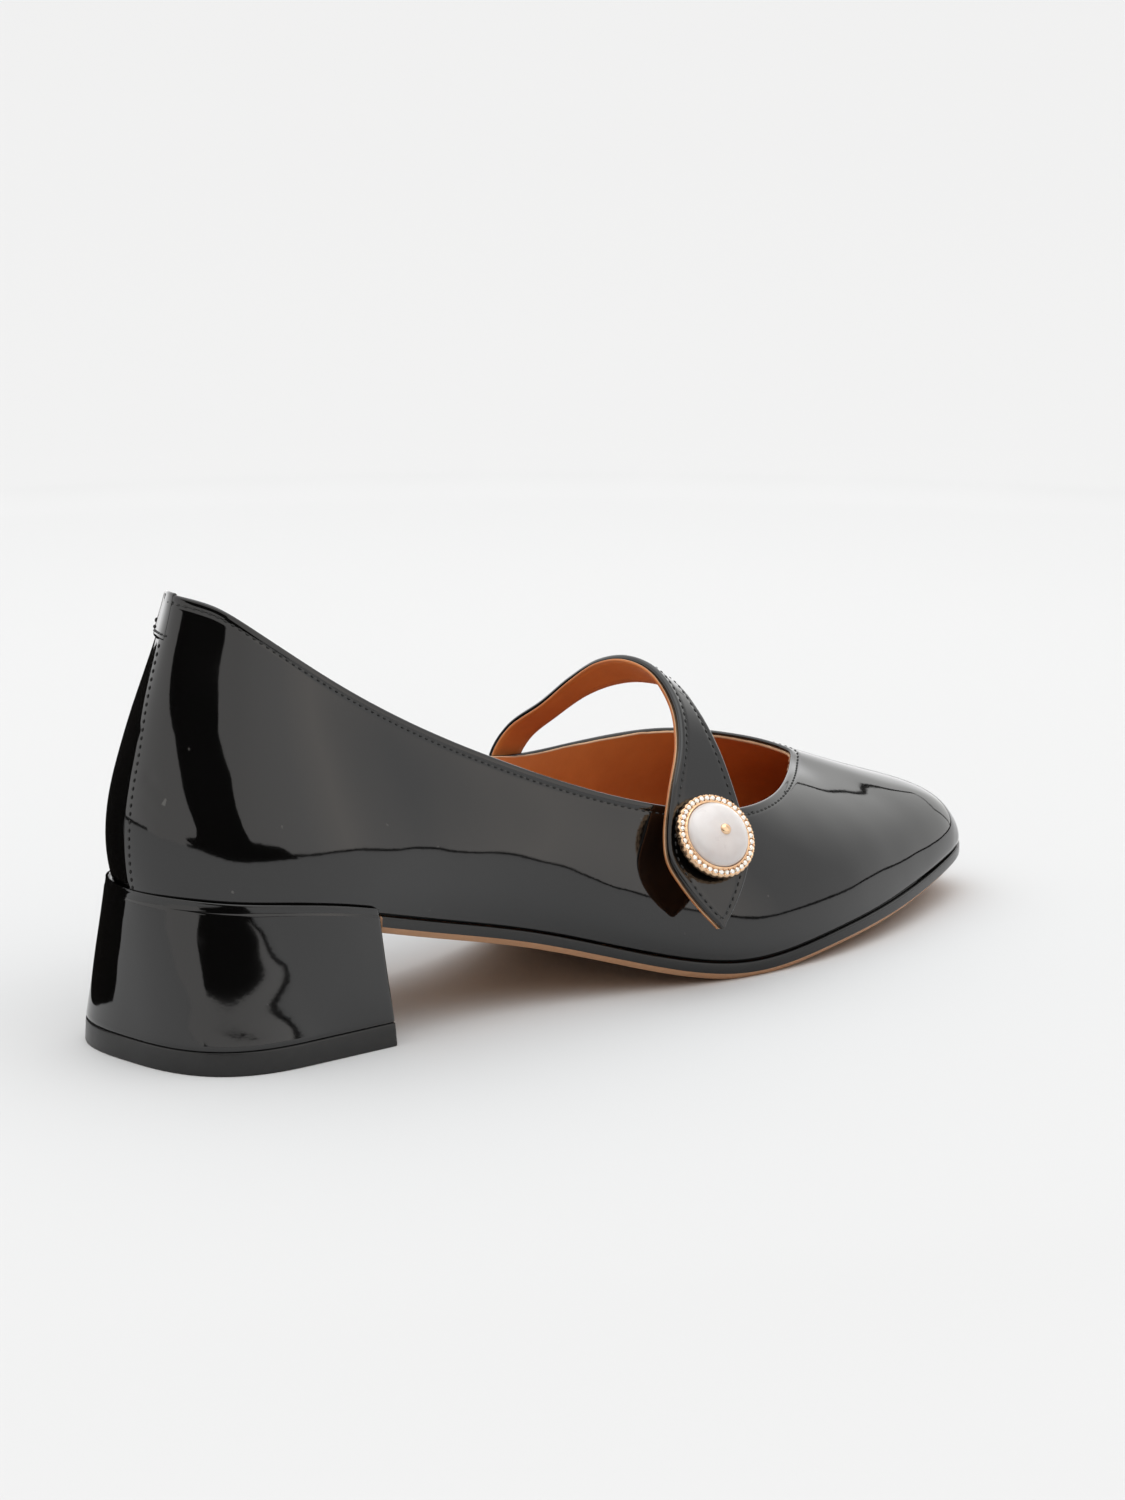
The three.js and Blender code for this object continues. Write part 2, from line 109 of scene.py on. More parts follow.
# %% Sections of the last, one row a station
# x in % of LENGTH, widths in % of BALL_WIDTH, sole in % of HEEL_HEIGHT. swell pushes the whole wall out, and
# tuck pushes its foot out while it draws its upper half in, both in mm. crown is 1 where the wall turns over
# into the vamp.
LAST_COLUMNS = [
    "x", "outer", "inner", "sole", "swell_outer", "swell_inner", "tuck_outer", "tuck_inner", "crown",
]
LAST = [
    [0.6, 0.0, 0.0, 100.0, 2.5, 2.5, 1.2, 1.2, 0.0],
    [2.2, 17.8, 17.8, 99.3, 1.0, 2.4, 1.0, 2.3, 0.0],
    [6.6, 29.8, 29.8, 96.0, -0.2, 1.8, 0.9, -0.4, 0.0],
    [15.4, 35.2, 35.2, 87.2, 0.6, 1.6, 0.8, -0.6, 0.0],
    [26.4, 33.4, 30.5, 68.5, 2.5, 2.0, 0.3, -0.4, 0.0],
    [38.4, 35.0, 30.0, 48.0, 2.6, 2.4, -0.3, 0.1, 0.0],
    [49.6, 43.4, 38.8, 24.5, 1.3, 2.4, 0.6, 0.3, 0.05],
    [60.0, 50.0, 47.4, 10.1, 0.1, 2.0, 1.0, 0.2, 0.29],
    [70.4, 49.2, 50.0, 15.0, 0.8, 1.5, -0.6, -0.2, 0.35],
    [81.2, 40.1, 44.1, 20.8, 1.6, 1.3, -1.6, -0.4, 0.5],
    [91.0, 26.3, 31.0, 27.0, 2.4, 2.0, -0.8, -0.3, 0.8],
    [97.0, 14.0, 16.0, 31.0, 2.6, 2.3, -0.5, -0.2, 0.95],
    [98.8, 0.0, 0.0, 31.6, 2.5, 2.5, -1.1, -1.1, 0.95],
]

# %% The topline at the same stations
# x in % of LENGTH, y in % of BALL_WIDTH, z in % of COLLAR_HEIGHT.
TOPLINE_COLUMNS = ["outer_x", "outer_y", "outer_z", "inner_x", "inner_y", "inner_z"]
TOPLINE = [
    [5.8, 0.0, 99.4, 5.8, 0.0, 99.4],
    [7.0, 8.8, 98.2, 7.0, 8.8, 98.6],
    [9.6, 17.6, 93.4, 9.6, 17.6, 94.4],
    [17.4, 24.0, 79.8, 17.0, 27.0, 81.4],
    [28.0, 26.6, 64.9, 26.8, 31.8, 67.2],
    [40.1, 31.4, 51.2, 39.2, 36.4, 53.5],
    [50.1, 37.9, 42.2, 51.2, 41.0, 41.9],
    [59.1, 41.2, 37.3, 61.6, 41.0, 40.3],
    [67.4, 32.9, 36.0, 70.4, 35.0, 41.4],
    [73.0, 20.3, 36.9, 75.2, 25.2, 40.8],
    [76.3, 10.2, 37.4, 77.8, 14.8, 39.6],
    [78.0, 4.6, 38.1, 78.6, 6.9, 38.9],
    [78.6, 0.0, 38.5, 78.6, 0.0, 38.5],
]

# %% The wall's own section
# Six control points between sole and topline, for an upright wall and for a toe.
SECTION_COLUMNS = ["wall_plan", "wall_rise", "toe_plan", "toe_rise", "swell", "tuck"]
SECTION = [
    [0.0, 0.0, 0.0, 0.0, 0.0, 0.0],
    [0.0, 0.2, -0.03, -0.08, 0.8, 1.0],
    [0.1, 0.4, 0.11, 0.63, 1.0, 0.0],
    [0.36, 0.6, 0.25, 0.42, 0.6, -0.6],
    [0.68, 0.8, 0.54, 0.7, 0.0, -0.6],
    [1.0, 1.0, 1.0, 1.0, 0.0, 0.0],
]

# %% Small helpers for points
def unit(vectors):
    """Vectors of length 1."""
    return vectors / np.linalg.norm(vectors, axis=-1, keepdims=True)


def mix(a, b, t):
    """a at t = 0, b at t = 1."""
    return a + (b - a) * t


def soft_step(low, high, value):
    """0 below low, 1 above high, smooth between them."""
    s = np.clip((value - low) / (high - low), 0, 1)
    return s * s * (3 - 2 * s)


def columns_of(table, names):
    return dict(zip(names, np.array(table, float).T))


# %% [markdown]
# A closed cubic spline goes through the values of a table column, once round the shoe. The outer side comes
# first, from the heel to the toe, and the inner side leads back.

# %% Splines round the shoe
def closed_spline(values):
    """A smooth closed curve through the values, which lie one unit of t apart."""
    count = len(values)
    ring = 4 * np.eye(count) + np.roll(np.eye(count), 1, 0) + np.roll(np.eye(count), -1, 0)
    knots = np.linalg.solve(ring / 6, values)

    def at(t):
        turn = np.mod(t, count)
        i = np.floor(turn).astype(int)
        f = turn - i
        weights = ((1 - f) ** 3, 3 * f**3 - 6 * f**2 + 4, -3 * f**3 + 3 * f**2 + 3 * f + 1, f**3)
        return sum(w * knots[(i + k - 1) % count] for k, w in enumerate(weights)) / 6

    return at


def loop_of(outer, inner, scale_outer, scale_inner):
    return closed_spline(np.concatenate([outer * scale_outer, inner[1:-1][::-1] * scale_inner]))


last = columns_of(LAST, LAST_COLUMNS)
top = columns_of(TOPLINE, TOPLINE_COLUMNS)
wide = BALL_WIDTH / 100
outline_x = loop_of(last["x"], last["x"], LENGTH / 100, LENGTH / 100)
outline_y = loop_of(last["outer"], last["inner"], -wide, wide)
sole_z = loop_of(last["sole"], last["sole"], HEEL_HEIGHT / 100, HEEL_HEIGHT / 100)
swell_at = loop_of(last["swell_outer"], last["swell_inner"], 1, 1)
tuck_at = loop_of(last["tuck_outer"], last["tuck_inner"], 1, 1)
crown_at = loop_of(last["crown"], last["crown"], 1, 1)
top_x = loop_of(top["outer_x"], top["inner_x"], LENGTH / 100, LENGTH / 100)
top_y = loop_of(top["outer_y"], top["inner_y"], -wide, wide)
top_z = loop_of(top["outer_z"], top["inner_z"], COLLAR_HEIGHT / 100, COLLAR_HEIGHT / 100)
STATIONS = len(LAST) - 1

# %% The upper's surface
def outward(t, step=0.01):
    """Straight out of the sole's outline, in plan."""
    dx = outline_x(t + step) - outline_x(t - step)
    dy = outline_y(t + step) - outline_y(t - step)
    return unit(np.stack([dy, -dx, 0 * dx], -1))


def outline_point(t, out=0.0, up=0.0):
    point = np.stack([outline_x(t), outline_y(t), sole_z(t) + up], -1)
    return point + np.asarray(out)[..., None] * outward(t)


def upper_point(t, v):
    """The outside of the upper: v is 0 at the sole and 1 at the topline."""
    t, v = np.broadcast_arrays(np.asarray(t, float), np.asarray(v, float))
    foot = outline_point(t, -FEATHER_INSET, GAP)
    edge = np.stack([top_x(t), top_y(t), top_z(t)], -1)
    point = np.zeros(foot.shape)
    crown, normal = crown_at(t)[..., None], outward(t)
    section = columns_of(SECTION, SECTION_COLUMNS)
    for k in range(len(SECTION)):
        plan = mix(section["wall_plan"][k], section["toe_plan"][k], crown)
        rise = mix(section["wall_rise"][k], section["toe_rise"][k], crown)
        swell = swell_at(t) * section["swell"][k] + tuck_at(t) * section["tuck"][k]
        control = foot + (edge - foot) * np.concatenate([plan, plan, rise], -1) + normal * swell[..., None]
        point += control * (math.comb(5, k) * v**k * (1 - v) ** (5 - k))[..., None]
    return point


def upper_axes(t, v, step=0.004):
    """Outward normal and the direction up the wall."""
    along = upper_point(t + step, v) - upper_point(t - step, v)
    rising = upper_point(t, np.minimum(v + step, 1)) - upper_point(t, np.maximum(v - step, 0))
    normal = unit(np.cross(along, rising))
    up = rising - normal * (rising * normal).sum(-1, keepdims=True)
    return normal, unit(up)


def heights_for(t, depths):
    """v of the places that lie so many mm below the topline, measured down the wall, one row for each depth."""
    v = np.linspace(1, 0, 161)
    walls = upper_point(t[:, None], v[None, :])
    steps = np.linalg.norm(np.diff(walls, axis=1), axis=-1)
    run = np.concatenate([np.zeros((len(t), 1)), np.cumsum(steps, 1)], 1)
    depths = np.broadcast_to(depths, (len(depths), len(t)))
    found = np.stack([np.interp(depths[:, i], run[i], v) for i in range(len(t))], 1)
    return found, run[:, -1]


print("wall at the waist, mm:", round(float(heights_for(np.array([5.0]), np.zeros((1, 1)))[1][0]), 1))

# %% [markdown]
# ## Meshes
# A mesh here is a grid of points joined by quads. One helper numbers the quads and one turns the points into a
# named piece that rides with the shoe and hides the solid it stands for.

# %% Mesh helpers
def grid_faces(rows, columns, close_rows=False, close_columns=False):
    r = np.arange(rows if close_rows else rows - 1)
    c = np.arange(columns if close_columns else columns - 1)
    r, c = np.meshgrid(r, c, indexing="ij")
    r2, c2 = (r + 1) % rows, (c + 1) % columns
    return np.stack([r * columns + c, r * columns + c2, r2 * columns + c2, r2 * columns + c], -1).reshape(-1, 4)


def loft(sections):
    """Closed sections of equal length joined side by side, with a flat face on each end."""
    count, size = sections.shape[:2]
    faces = grid_faces(count, size, close_columns=True).tolist()
    faces.append(list(range(size)))
    faces.append(list(range((count - 1) * size, count * size)))
    return sections.reshape(-1, 3), faces


def to_frame(points):
    return (np.asarray(points).reshape(-1, 3) + [heel_back_x, 0, 0]) * MM


def make_piece(name, points, faces, materials, stands_for=(), paint=None, flat=False):
    mesh = bpy.data.meshes.new(name)
    mesh.from_pydata(to_frame(points).tolist(), [], [list(f) for f in faces])
    for material in materials:
        mesh.materials.append(material)
    if paint is not None:
        mesh.polygons.foreach_set("material_index", np.asarray(paint, np.int32))
    work = bmesh.new()
    work.from_mesh(mesh)
    bmesh.ops.recalc_face_normals(work, faces=work.faces)
    work.to_mesh(mesh)
    work.free()
    mesh.polygons.foreach_set("use_smooth", [not flat] * len(mesh.polygons))
    piece = bpy.data.objects.new(name, mesh)
    bpy.context.scene.collection.objects.link(piece)
    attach(piece, "root")
    if stands_for:
        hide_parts(*stands_for)
    print(f"{name}: {len(mesh.vertices)} points, {len(mesh.polygons)} faces")
    return piece


# %% [markdown]
# ## Finishes
# Patent leather is black leather under a thick clear lacquer. Its colour is almost nothing and its shine is a
# mirror, so the material is a near-black base with a sharp gloss, a very low orange peel and a few specks of
# dust. The lining, sole and raw edges are all leather, each with its own grain, so one helper serves them.

# %% Material helpers
def new_material(name):
    material = bpy.data.materials.new(name)
    material.use_nodes = True
    nodes = material.node_tree.nodes
    return material, nodes, material.node_tree.links, nodes["Principled BSDF"]


def noise(nodes, links, scale, detail=4.0, roughness=0.5, stretch=(1, 1, 1)):
    """Noise in the shoe's own coordinates: a scale of 1000 has features about a millimetre wide."""
    place = nodes.new("ShaderNodeTexCoord")
    mapping = nodes.new("ShaderNodeMapping")
    mapping.inputs["Scale"].default_value = stretch
    texture = nodes.new("ShaderNodeTexNoise")
    texture.inputs["Scale"].default_value = scale
    texture.inputs["Detail"].default_value = detail
    texture.inputs["Roughness"].default_value = roughness
    links.new(place.outputs["Object"], mapping.inputs["Vector"])
    links.new(mapping.outputs["Vector"], texture.inputs["Vector"])
    return texture.outputs["Fac"]


def ramp(nodes, links, value, stops):
    """Colours along a value: stops are (place, colour)."""
    node = nodes.new("ShaderNodeValToRGB")
    elements = node.color_ramp.elements
    while len(elements) < len(stops):
        elements.new(0.5)
    for element, (place, colour) in zip(elements, stops):
        element.position = place
        element.color = (*colour, 1)
    links.new(value, node.inputs["Fac"])
    return node.outputs["Color"]


def span(nodes, links, value, low, high):
    node = nodes.new("ShaderNodeMapRange")
    node.inputs["To Min"].default_value = low
    node.inputs["To Max"].default_value = high
    links.new(value, node.inputs["Value"])
    return node.outputs["Result"]


def bump(nodes, links, shader, height, distance, strength=1.0, under=None):
    node = nodes.new("ShaderNodeBump")
    node.inputs["Strength"].default_value = strength
    node.inputs["Distance"].default_value = distance
    links.new(height, node.inputs["Height"])
    if under is not None:
        links.new(under, node.inputs["Normal"])
    links.new(node.outputs["Normal"], shader.inputs["Normal"])
    return node.outputs["Normal"]


# %% Patent leather and black paint
def patent_leather(name, peel=0.00001):
    material, nodes, links, shader = new_material(name)
    dust = [(0.795, (0.0022, 0.0022, 0.0023)), (0.83, (0.06, 0.06, 0.058))]
    links.new(ramp(nodes, links, noise(nodes, links, 420, 1.0), dust), shader.inputs["Base Color"])
    links.new(span(nodes, links, noise(nodes, links, 60), 0.03, 0.075), shader.inputs["Roughness"])
    shader.inputs["IOR"].default_value = 1.6
    shader.inputs["Coat Weight"].default_value = 0.12
    shader.inputs["Coat Roughness"].default_value = 0.02
    low = bump(nodes, links, shader, noise(nodes, links, 55, 2.0), peel * 6)
    bump(nodes, links, shader, noise(nodes, links, 700, 2.0), peel, 0.35, low)
    return material


def satin_black(name, roughness, colour, grain):
    material, nodes, links, shader = new_material(name)
    tone = noise(nodes, links, 500, 6.0)
    dark = tuple(0.7 * c for c in colour)
    links.new(ramp(nodes, links, tone, [(0.35, dark), (0.7, colour)]), shader.inputs["Base Color"])
    links.new(span(nodes, links, tone, roughness - 0.06, roughness + 0.08), shader.inputs["Roughness"])
    bump(nodes, links, shader, noise(nodes, links, grain, 5.0), 0.00002, 0.6)
    return material


patent = patent_leather("black_patent")
heel_patent = patent_leather("black_patent_heel")
edge_paint = satin_black("black_edge_paint", 0.22, (0.006, 0.006, 0.006), 900)
rubber = satin_black("lift_rubber", 0.34, (0.008, 0.008, 0.008), 1400)
thread = satin_black("black_thread", 0.45, (0.006, 0.006, 0.006), 3000)


# %% Tan leathers
def tan_leather(name, dark, light, roughness, grain, grain_depth, stretch=(1, 1, 1), sheen=0.15):
    material, nodes, links, shader = new_material(name)
    cloud = noise(nodes, links, 90, 6.0, 0.6, stretch)
    links.new(ramp(nodes, links, cloud, [(0.3, dark), (0.72, light)]), shader.inputs["Base Color"])
    uneven = span(nodes, links, noise(nodes, links, 600), roughness - 0.1, roughness + 0.12)
    links.new(uneven, shader.inputs["Roughness"])
    shader.inputs["Sheen Weight"].default_value = sheen
    shader.inputs["Sheen Roughness"].default_value = 0.5
    shader.inputs["Sheen Tint"].default_value = (1.0, 0.72, 0.5, 1)
    coarse = bump(nodes, links, shader, noise(nodes, links, grain, 6.0, 0.65, stretch), grain_depth, 0.8)
    bump(nodes, links, shader, noise(nodes, links, grain * 3.3, 3.0), grain_depth * 0.4, 0.6, coarse)
    return material


lining_leather = tan_leather("tan_lining", (0.55, 0.162, 0.028), (0.65, 0.212, 0.042), 0.5, 1500, 0.00004)
sock_leather = tan_leather("tan_sock", (0.36, 0.12, 0.03), (0.44, 0.16, 0.045), 0.46, 1300, 0.00004)
raw_edge = tan_leather("raw_edge", (0.38, 0.2, 0.1), (0.72, 0.48, 0.3), 0.8, 2600, 0.00012, sheen=0.4)
SOLE_GRAIN = (0.35, 1, 1)
sole_leather = tan_leather("sole_leather", (0.4, 0.2, 0.095), (0.5, 0.27, 0.14), 0.42, 800, 0.00002, SOLE_GRAIN)

# %% [markdown]
# ## The patent upper
# Two quarters and a vamp are cut, lapped at the back seam, pulled over the last and stuck under the insole. The
# topline is folded over, so it ends in a soft round edge. The mesh is one closed shell that is open at the top
# and underneath: rows run up the outside, over the fold and down again between patent and lining. The seam is a
# real step, made by placing columns of points closely on both sides of it.

# %% Seam, fold and creases, mm
PATENT_THICKNESS = 1.1
FOLD_RADIUS = PATENT_THICKNESS / 2
STITCH_INSET = 2.0
STITCH_PITCH = 1.9
GROOVE_DEPTH = 0.16
GROOVE_WIDTH = 0.4
LAP_HEIGHT = 0.8
LAP_FADE = 1.4
LAP_EDGE = 0.045
TAB_OUTER_END = -0.1
TAB_INNER_END = -1.62


def seam_shift(v):
    """Where the lapped edge lies, in stations from the centre back."""
    return -0.17 - 0.26 * soft_step(0.45, 0.9, v)


# Creases run from one point to another: x1, y1, z1, x2, y2, z2, then width and depth, all in mm.
CREASES = [
    [3.6, -3.5, 64, 5.0, -8.0, 60, 1.4, 0.26],
    [3.4, -4.0, 58, 4.6, -7.5, 54, 1.2, 0.2],
    [3.2, 3.5, 61, 4.2, 8.0, 57, 1.6, 0.18],
    [232, -22, 13, 238, -15, 20, 1.6, 0.07],
    [226, -25, 12, 230, -20, 21, 1.8, 0.06],
    [238, -14, 13, 243, -8, 21, 1.5, 0.07],
]


def unevenness(p):
    """The slow waves that any lasted leather keeps, mm."""
    x, y, z = p[..., 0], p[..., 1], p[..., 2]
    slow = np.sin(0.12 * x + 0.10 * z + 0.6) * np.sin(0.15 * z - 0.05 * x + 1.1)
    quick = np.sin(0.31 * x - 0.22 * z + 0.3 * y) * np.sin(0.27 * z + 0.11 * x + 2.0)
    return 0.06 * slow + 0.018 * quick


def crease_depth(p):
    total = np.zeros(p.shape[:-1])
    for x1, y1, z1, x2, y2, z2, width, depth in CREASES:
        start, end = np.array([x1, y1, z1]), np.array([x2, y2, z2])
        line = end - start
        place = np.clip(((p - start) @ line) / (line @ line), 0, 1)
        away = np.linalg.norm(p - start - place[..., None] * line, axis=-1)
        total -= depth * np.exp(-((away / width) ** 2))
    return total


def lap_height(u):
    """How far the outer quarter stands above the inner one, near the seam at u = 0."""
    return LAP_HEIGHT * soft_step(-0.001, LAP_EDGE, u) * np.exp(-((np.maximum(u, 0) / LAP_FADE) ** 2))


def skin_offset(u, depth, p):
    """Everything that lifts or sinks the patent from the last's smooth surface, mm."""
    groove = -GROOVE_DEPTH * np.exp(-(((depth - STITCH_INSET) / GROOVE_WIDTH) ** 2))
    return lap_height(u) + groove + unevenness(p) + crease_depth(p)


# %% The patent shell
def seam_columns(step=0.05):
    """Stations once round the shoe, crowded together at the back seam."""
    close = [-0.03, -0.014, -0.004, 0.0, 0.008, 0.016, 0.024, 0.032, 0.04, 0.05]
    left = np.arange(-STATIONS, -0.04, step)
    right = np.arange(0.06, STATIONS - step / 2, step)
    return np.concatenate([left, close, right])


def seam_stations(u, v):
    return u + seam_shift(v) * np.exp(-((u / 2.5) ** 2))


u = seam_columns()
near_edge = np.arange(FOLD_RADIUS, 4.6, 0.25)
shares = np.linspace(0, 1, 61)[1:]
_, wall_length = heights_for(u, np.zeros((1, len(u))))
even_rows = np.repeat(near_edge[:, None], len(u), 1)
depths = np.concatenate([even_rows, mix(near_edge[-1], wall_length, shares[:, None])])
heights, _ = heights_for(u, depths)
stations = seam_stations(u[None, :], heights)
smooth = upper_point(stations, heights)
normal, rising = upper_axes(stations, heights)
outside = smooth + normal * skin_offset(u[None, :], depths, smooth)[..., None]
turns = np.linspace(0, math.pi, 9)[1:-1, None, None]
fold_middle = outside[0] - FOLD_RADIUS * normal[0]
fold = fold_middle + FOLD_RADIUS * (normal[0] * np.cos(turns) + rising[0] * np.sin(turns))
inner_rows = np.unique(np.linspace(0, len(depths) - 1, 26).astype(int))
inside = (outside - normal * PATENT_THICKNESS)[inner_rows]
shell = np.concatenate([outside[::-1], fold, inside])
shell_faces = grid_faces(*shell.shape[:2], close_rows=True, close_columns=True)
make_piece("patent_upper", shell, shell_faces, [patent], ["upper"])

# %% [markdown]
# ## The lining
# Tan leather, stuck inside the patent and trimmed just below the fold, so that its pale raw edge shows as a
# fine line. The cut is never perfectly even: a little seeded unevenness in the trim keeps it from looking
# drawn. It ends a little above the sole, hidden by the sock.

# %% Lining shell
LINING_THICKNESS = 0.62
LINING_GAP = 0.04
TRIM_BELOW_FOLD = 0.4
TRIM_WOBBLE = 0.09
LINING_OVER_SOLE = 1.2
random = np.random.default_rng(7)
u_lining = np.arange(-STATIONS, STATIONS, 0.06)
wobble = np.convolve(random.normal(size=len(u_lining) + 4), np.ones(5) / 2.2, "valid")
trim = TRIM_BELOW_FOLD + TRIM_WOBBLE * wobble
_, lining_length = heights_for(u_lining, np.zeros((1, len(u_lining))))
lining_shares = np.concatenate([[0, 0.004, 0.01, 0.02, 0.035], np.linspace(0.06, 1, 40)])
lining_depths = mix(trim[None, :], lining_length[None, :] - LINING_OVER_SOLE, lining_shares[:, None])
lining_heights, _ = heights_for(u_lining, lining_depths)
lining_points = upper_point(u_lining[None, :], lining_heights)
lining_normal, lining_up = upper_axes(u_lining[None, :], lining_heights)
back = lining_points - lining_normal * (PATENT_THICKNESS + LINING_GAP)
face = back - lining_normal * LINING_THICKNESS
raised = (back[0] + face[0]) / 2 + lining_up[0] * 0.12
lining = np.concatenate([face[::-1], raised[None], back])
lining_faces = grid_faces(*lining.shape[:2], close_rows=True, close_columns=True)
row_of_face = np.repeat(np.arange(len(lining)), len(u_lining))
cut_rows = (row_of_face >= len(face) - 2) & (row_of_face <= len(face) + 1)
make_piece("lining", lining, lining_faces, [lining_leather, raw_edge], ["upper"],
           cut_rows.astype(int))

# %% [markdown]
# ## Stitches
# One stitch is a short thick thread with both ends pulled down into the leather. It is modelled once and copied
# along a path, turned to follow it. All the stitches of one row become one mesh.

# %% Rows of stitches
STITCH_LENGTH = 1.35
THREAD_RADIUS = 0.23
STITCH_RINGS = np.linspace(-0.5, 0.5, 7)
STITCH_SIDES = np.arange(6) / 6 * math.tau


def evenly(points, pitch, closed=False):
    """Places and directions at an even pitch along a dense line of points."""
    if closed:
        points = np.concatenate([points, points[:1]])
    steps = np.linalg.norm(np.diff(points, axis=0), axis=1)
    run = np.concatenate([[0], np.cumsum(steps)])
    count = max(2, round(run[-1] / pitch))
    places = (np.arange(count) + 0.5) / count * run[-1]

    def at(where):
        return np.stack([np.interp(where, run, points[:, k]) for k in range(3)], 1)

    return places / run[-1], at(places), unit(at(places + 0.3) - at(places - 0.3))


def stitch_row(name, path, normals, closed=False, lift=0.0):
    share, centre, along = evenly(path, STITCH_PITCH, closed)
    where = np.linspace(0, 1, len(normals))
    up = np.stack([np.interp(share, where, normals[:, k]) for k in range(3)], 1)
    up = unit(up - along * (up * along).sum(1, keepdims=True))
    side = np.cross(up, along)
    bow = 0.1 - 1.5 * STITCH_RINGS**2 + lift
    radius = THREAD_RADIUS * np.sqrt(np.maximum(0.15, 1 - (2 * STITCH_RINGS) ** 4))
    ring_up = bow[:, None] + radius[:, None] * np.sin(STITCH_SIDES)
    ring_side = radius[:, None] * np.cos(STITCH_SIDES)
    ring_along = STITCH_LENGTH * np.repeat(STITCH_RINGS[:, None], len(STITCH_SIDES), 1)
    points = centre[:, None, None] + (
        ring_along[None, ..., None] * along[:, None, None]
        + ring_side[None, ..., None] * side[:, None, None]
        + ring_up[None, ..., None] * up[:, None, None]
    )
    one = grid_faces(len(STITCH_RINGS), len(STITCH_SIDES), close_columns=True).tolist()
    size = len(STITCH_RINGS) * len(STITCH_SIDES)
    one += [list(range(len(STITCH_SIDES))), list(range(size - len(STITCH_SIDES), size))]
    faces = [[v + k * size for v in quad] for k in range(len(centre)) for quad in one]
    make_piece(name, points, faces, [thread])


def on_skin(u_path, v_path, depth_path):
    """Points and normals on the finished patent surface."""
    t_path = seam_stations(u_path, v_path)
    p = upper_point(t_path, v_path)
    n, _ = upper_axes(t_path, v_path)
    return p + n * skin_offset(u_path, depth_path, p)[:, None], n


edge_u = np.linspace(-STATIONS, STATIONS, 1500, endpoint=False)
edge_v = heights_for(edge_u, np.full((1, len(edge_u)), STITCH_INSET))[0][0]
edge_path, edge_normals = on_skin(edge_u, edge_v, np.full(len(edge_u), STITCH_INSET))
clear_of_tab = (edge_u < TAB_INNER_END) | (edge_u > 0)
order = np.roll(np.arange(len(edge_u)), -int(np.argmax(edge_u > 0)))
order = order[clear_of_tab[order]]
stitch_row("topline_stitches", edge_path[order], edge_normals[order])

SEAM_STITCH_STATION = 0.15
BELOW_THE_GROOVE = 50.0
seam_v = np.linspace(0.02, 0.84, 300)
seam_u = np.full(seam_v.shape, SEAM_STITCH_STATION)
seam_path, seam_normals = on_skin(seam_u, seam_v, np.full(seam_v.shape, BELOW_THE_GROOVE))
stitch_row("back_seam_stitches", seam_path, seam_normals)

# %% [markdown]
# ## The back tab
# At the collar the outer quarter reaches over the seam as a small folded tab. It leaves the outer quarter
# without an edge, covers the end of the back seam and runs a little way along the inner quarter. There its
# lower edge curves up to the topline.

# %% Back tab
TAB_LOW = 0.842
TAB_ROUND = 0.42
tab_across = np.linspace(0, 1, 61)
tab_up = np.linspace(0, 1, 25)


def tab_bottom(a):
    """The tab's lower edge: level at first, then curving up to the topline. a is 0 on the outer side."""
    return mix(TAB_LOW, 1.0, 1 - np.sqrt(1 - np.clip((a - 1 + TAB_ROUND) / TAB_ROUND, 0, 1) ** 2.4))


def tab_place(a, b, share):
    """A point of the tab: share is 0 on the upper's skin and 1 on the tab's own face."""
    t = mix(TAB_OUTER_END, TAB_INNER_END, a)
    v = mix(tab_bottom(a), 1.0, b)
    p = upper_point(t, v)
    n, up = upper_axes(t, v)
    face = LAP_HEIGHT * np.exp(-((np.maximum(t - seam_shift(v), 0) / LAP_FADE) ** 2)) + 0.02
    return p + n * (unevenness(p) + share * face)[..., None], n, up


def edge_round(b, a):
    """1 in the middle of the tab, falling off like a folded edge near its lower border and its far end."""
    rim = np.minimum((1 - a) * 28, b * 16)
    return np.sqrt(1 - (1 - np.clip(rim / 0.7, 0, 1)) ** 2)


A, B = np.meshgrid(tab_across, tab_up, indexing="xy")
tab_outer, tab_normal, tab_rising = tab_place(A, B, 0.15 + 0.85 * edge_round(B, A))
tab_inner, _, _ = tab_place(A, B, np.full(A.shape, -0.15))
top_cap = tab_outer[-1] - 0.5 * tab_normal[-1] + 0.35 * tab_rising[-1]
over = (tab_outer[-1] + 0.3 * tab_rising[-1]) * 0.5 + top_cap * 0.5
behind = tab_outer[-1] - tab_normal[-1] * 1.05
tab_grid = np.concatenate([tab_outer, over[None], top_cap[None], behind[None], tab_inner[::-1]])
tab_skin = grid_faces(*tab_grid.shape[:2], close_rows=True).tolist()
end_a = [[r * len(tab_across) for r in range(len(tab_grid))]]
end_b = [[(r + 1) * len(tab_across) - 1 for r in range(len(tab_grid))]]
make_piece("back_tab_patent", tab_grid, tab_skin + end_a + end_b, [patent], ["back_tab"])

TAB_STITCH_HEIGHT = 0.14
TAB_STITCH_START = 0.02
TAB_STITCH_LIFT = 0.12
tab_line_t = np.linspace(TAB_STITCH_START, mix(TAB_OUTER_END, TAB_INNER_END, 0.93), 240)
tab_line_a = (tab_line_t - TAB_OUTER_END) / (TAB_INNER_END - TAB_OUTER_END)
tab_line_b = np.full(tab_line_a.shape, TAB_STITCH_HEIGHT)
tab_stitch, tab_stitch_normal, _ = tab_place(tab_line_a, tab_line_b, np.ones(tab_line_a.shape))
stitch_row("back_tab_stitches", tab_stitch + TAB_STITCH_LIFT * tab_stitch_normal, tab_stitch_normal)

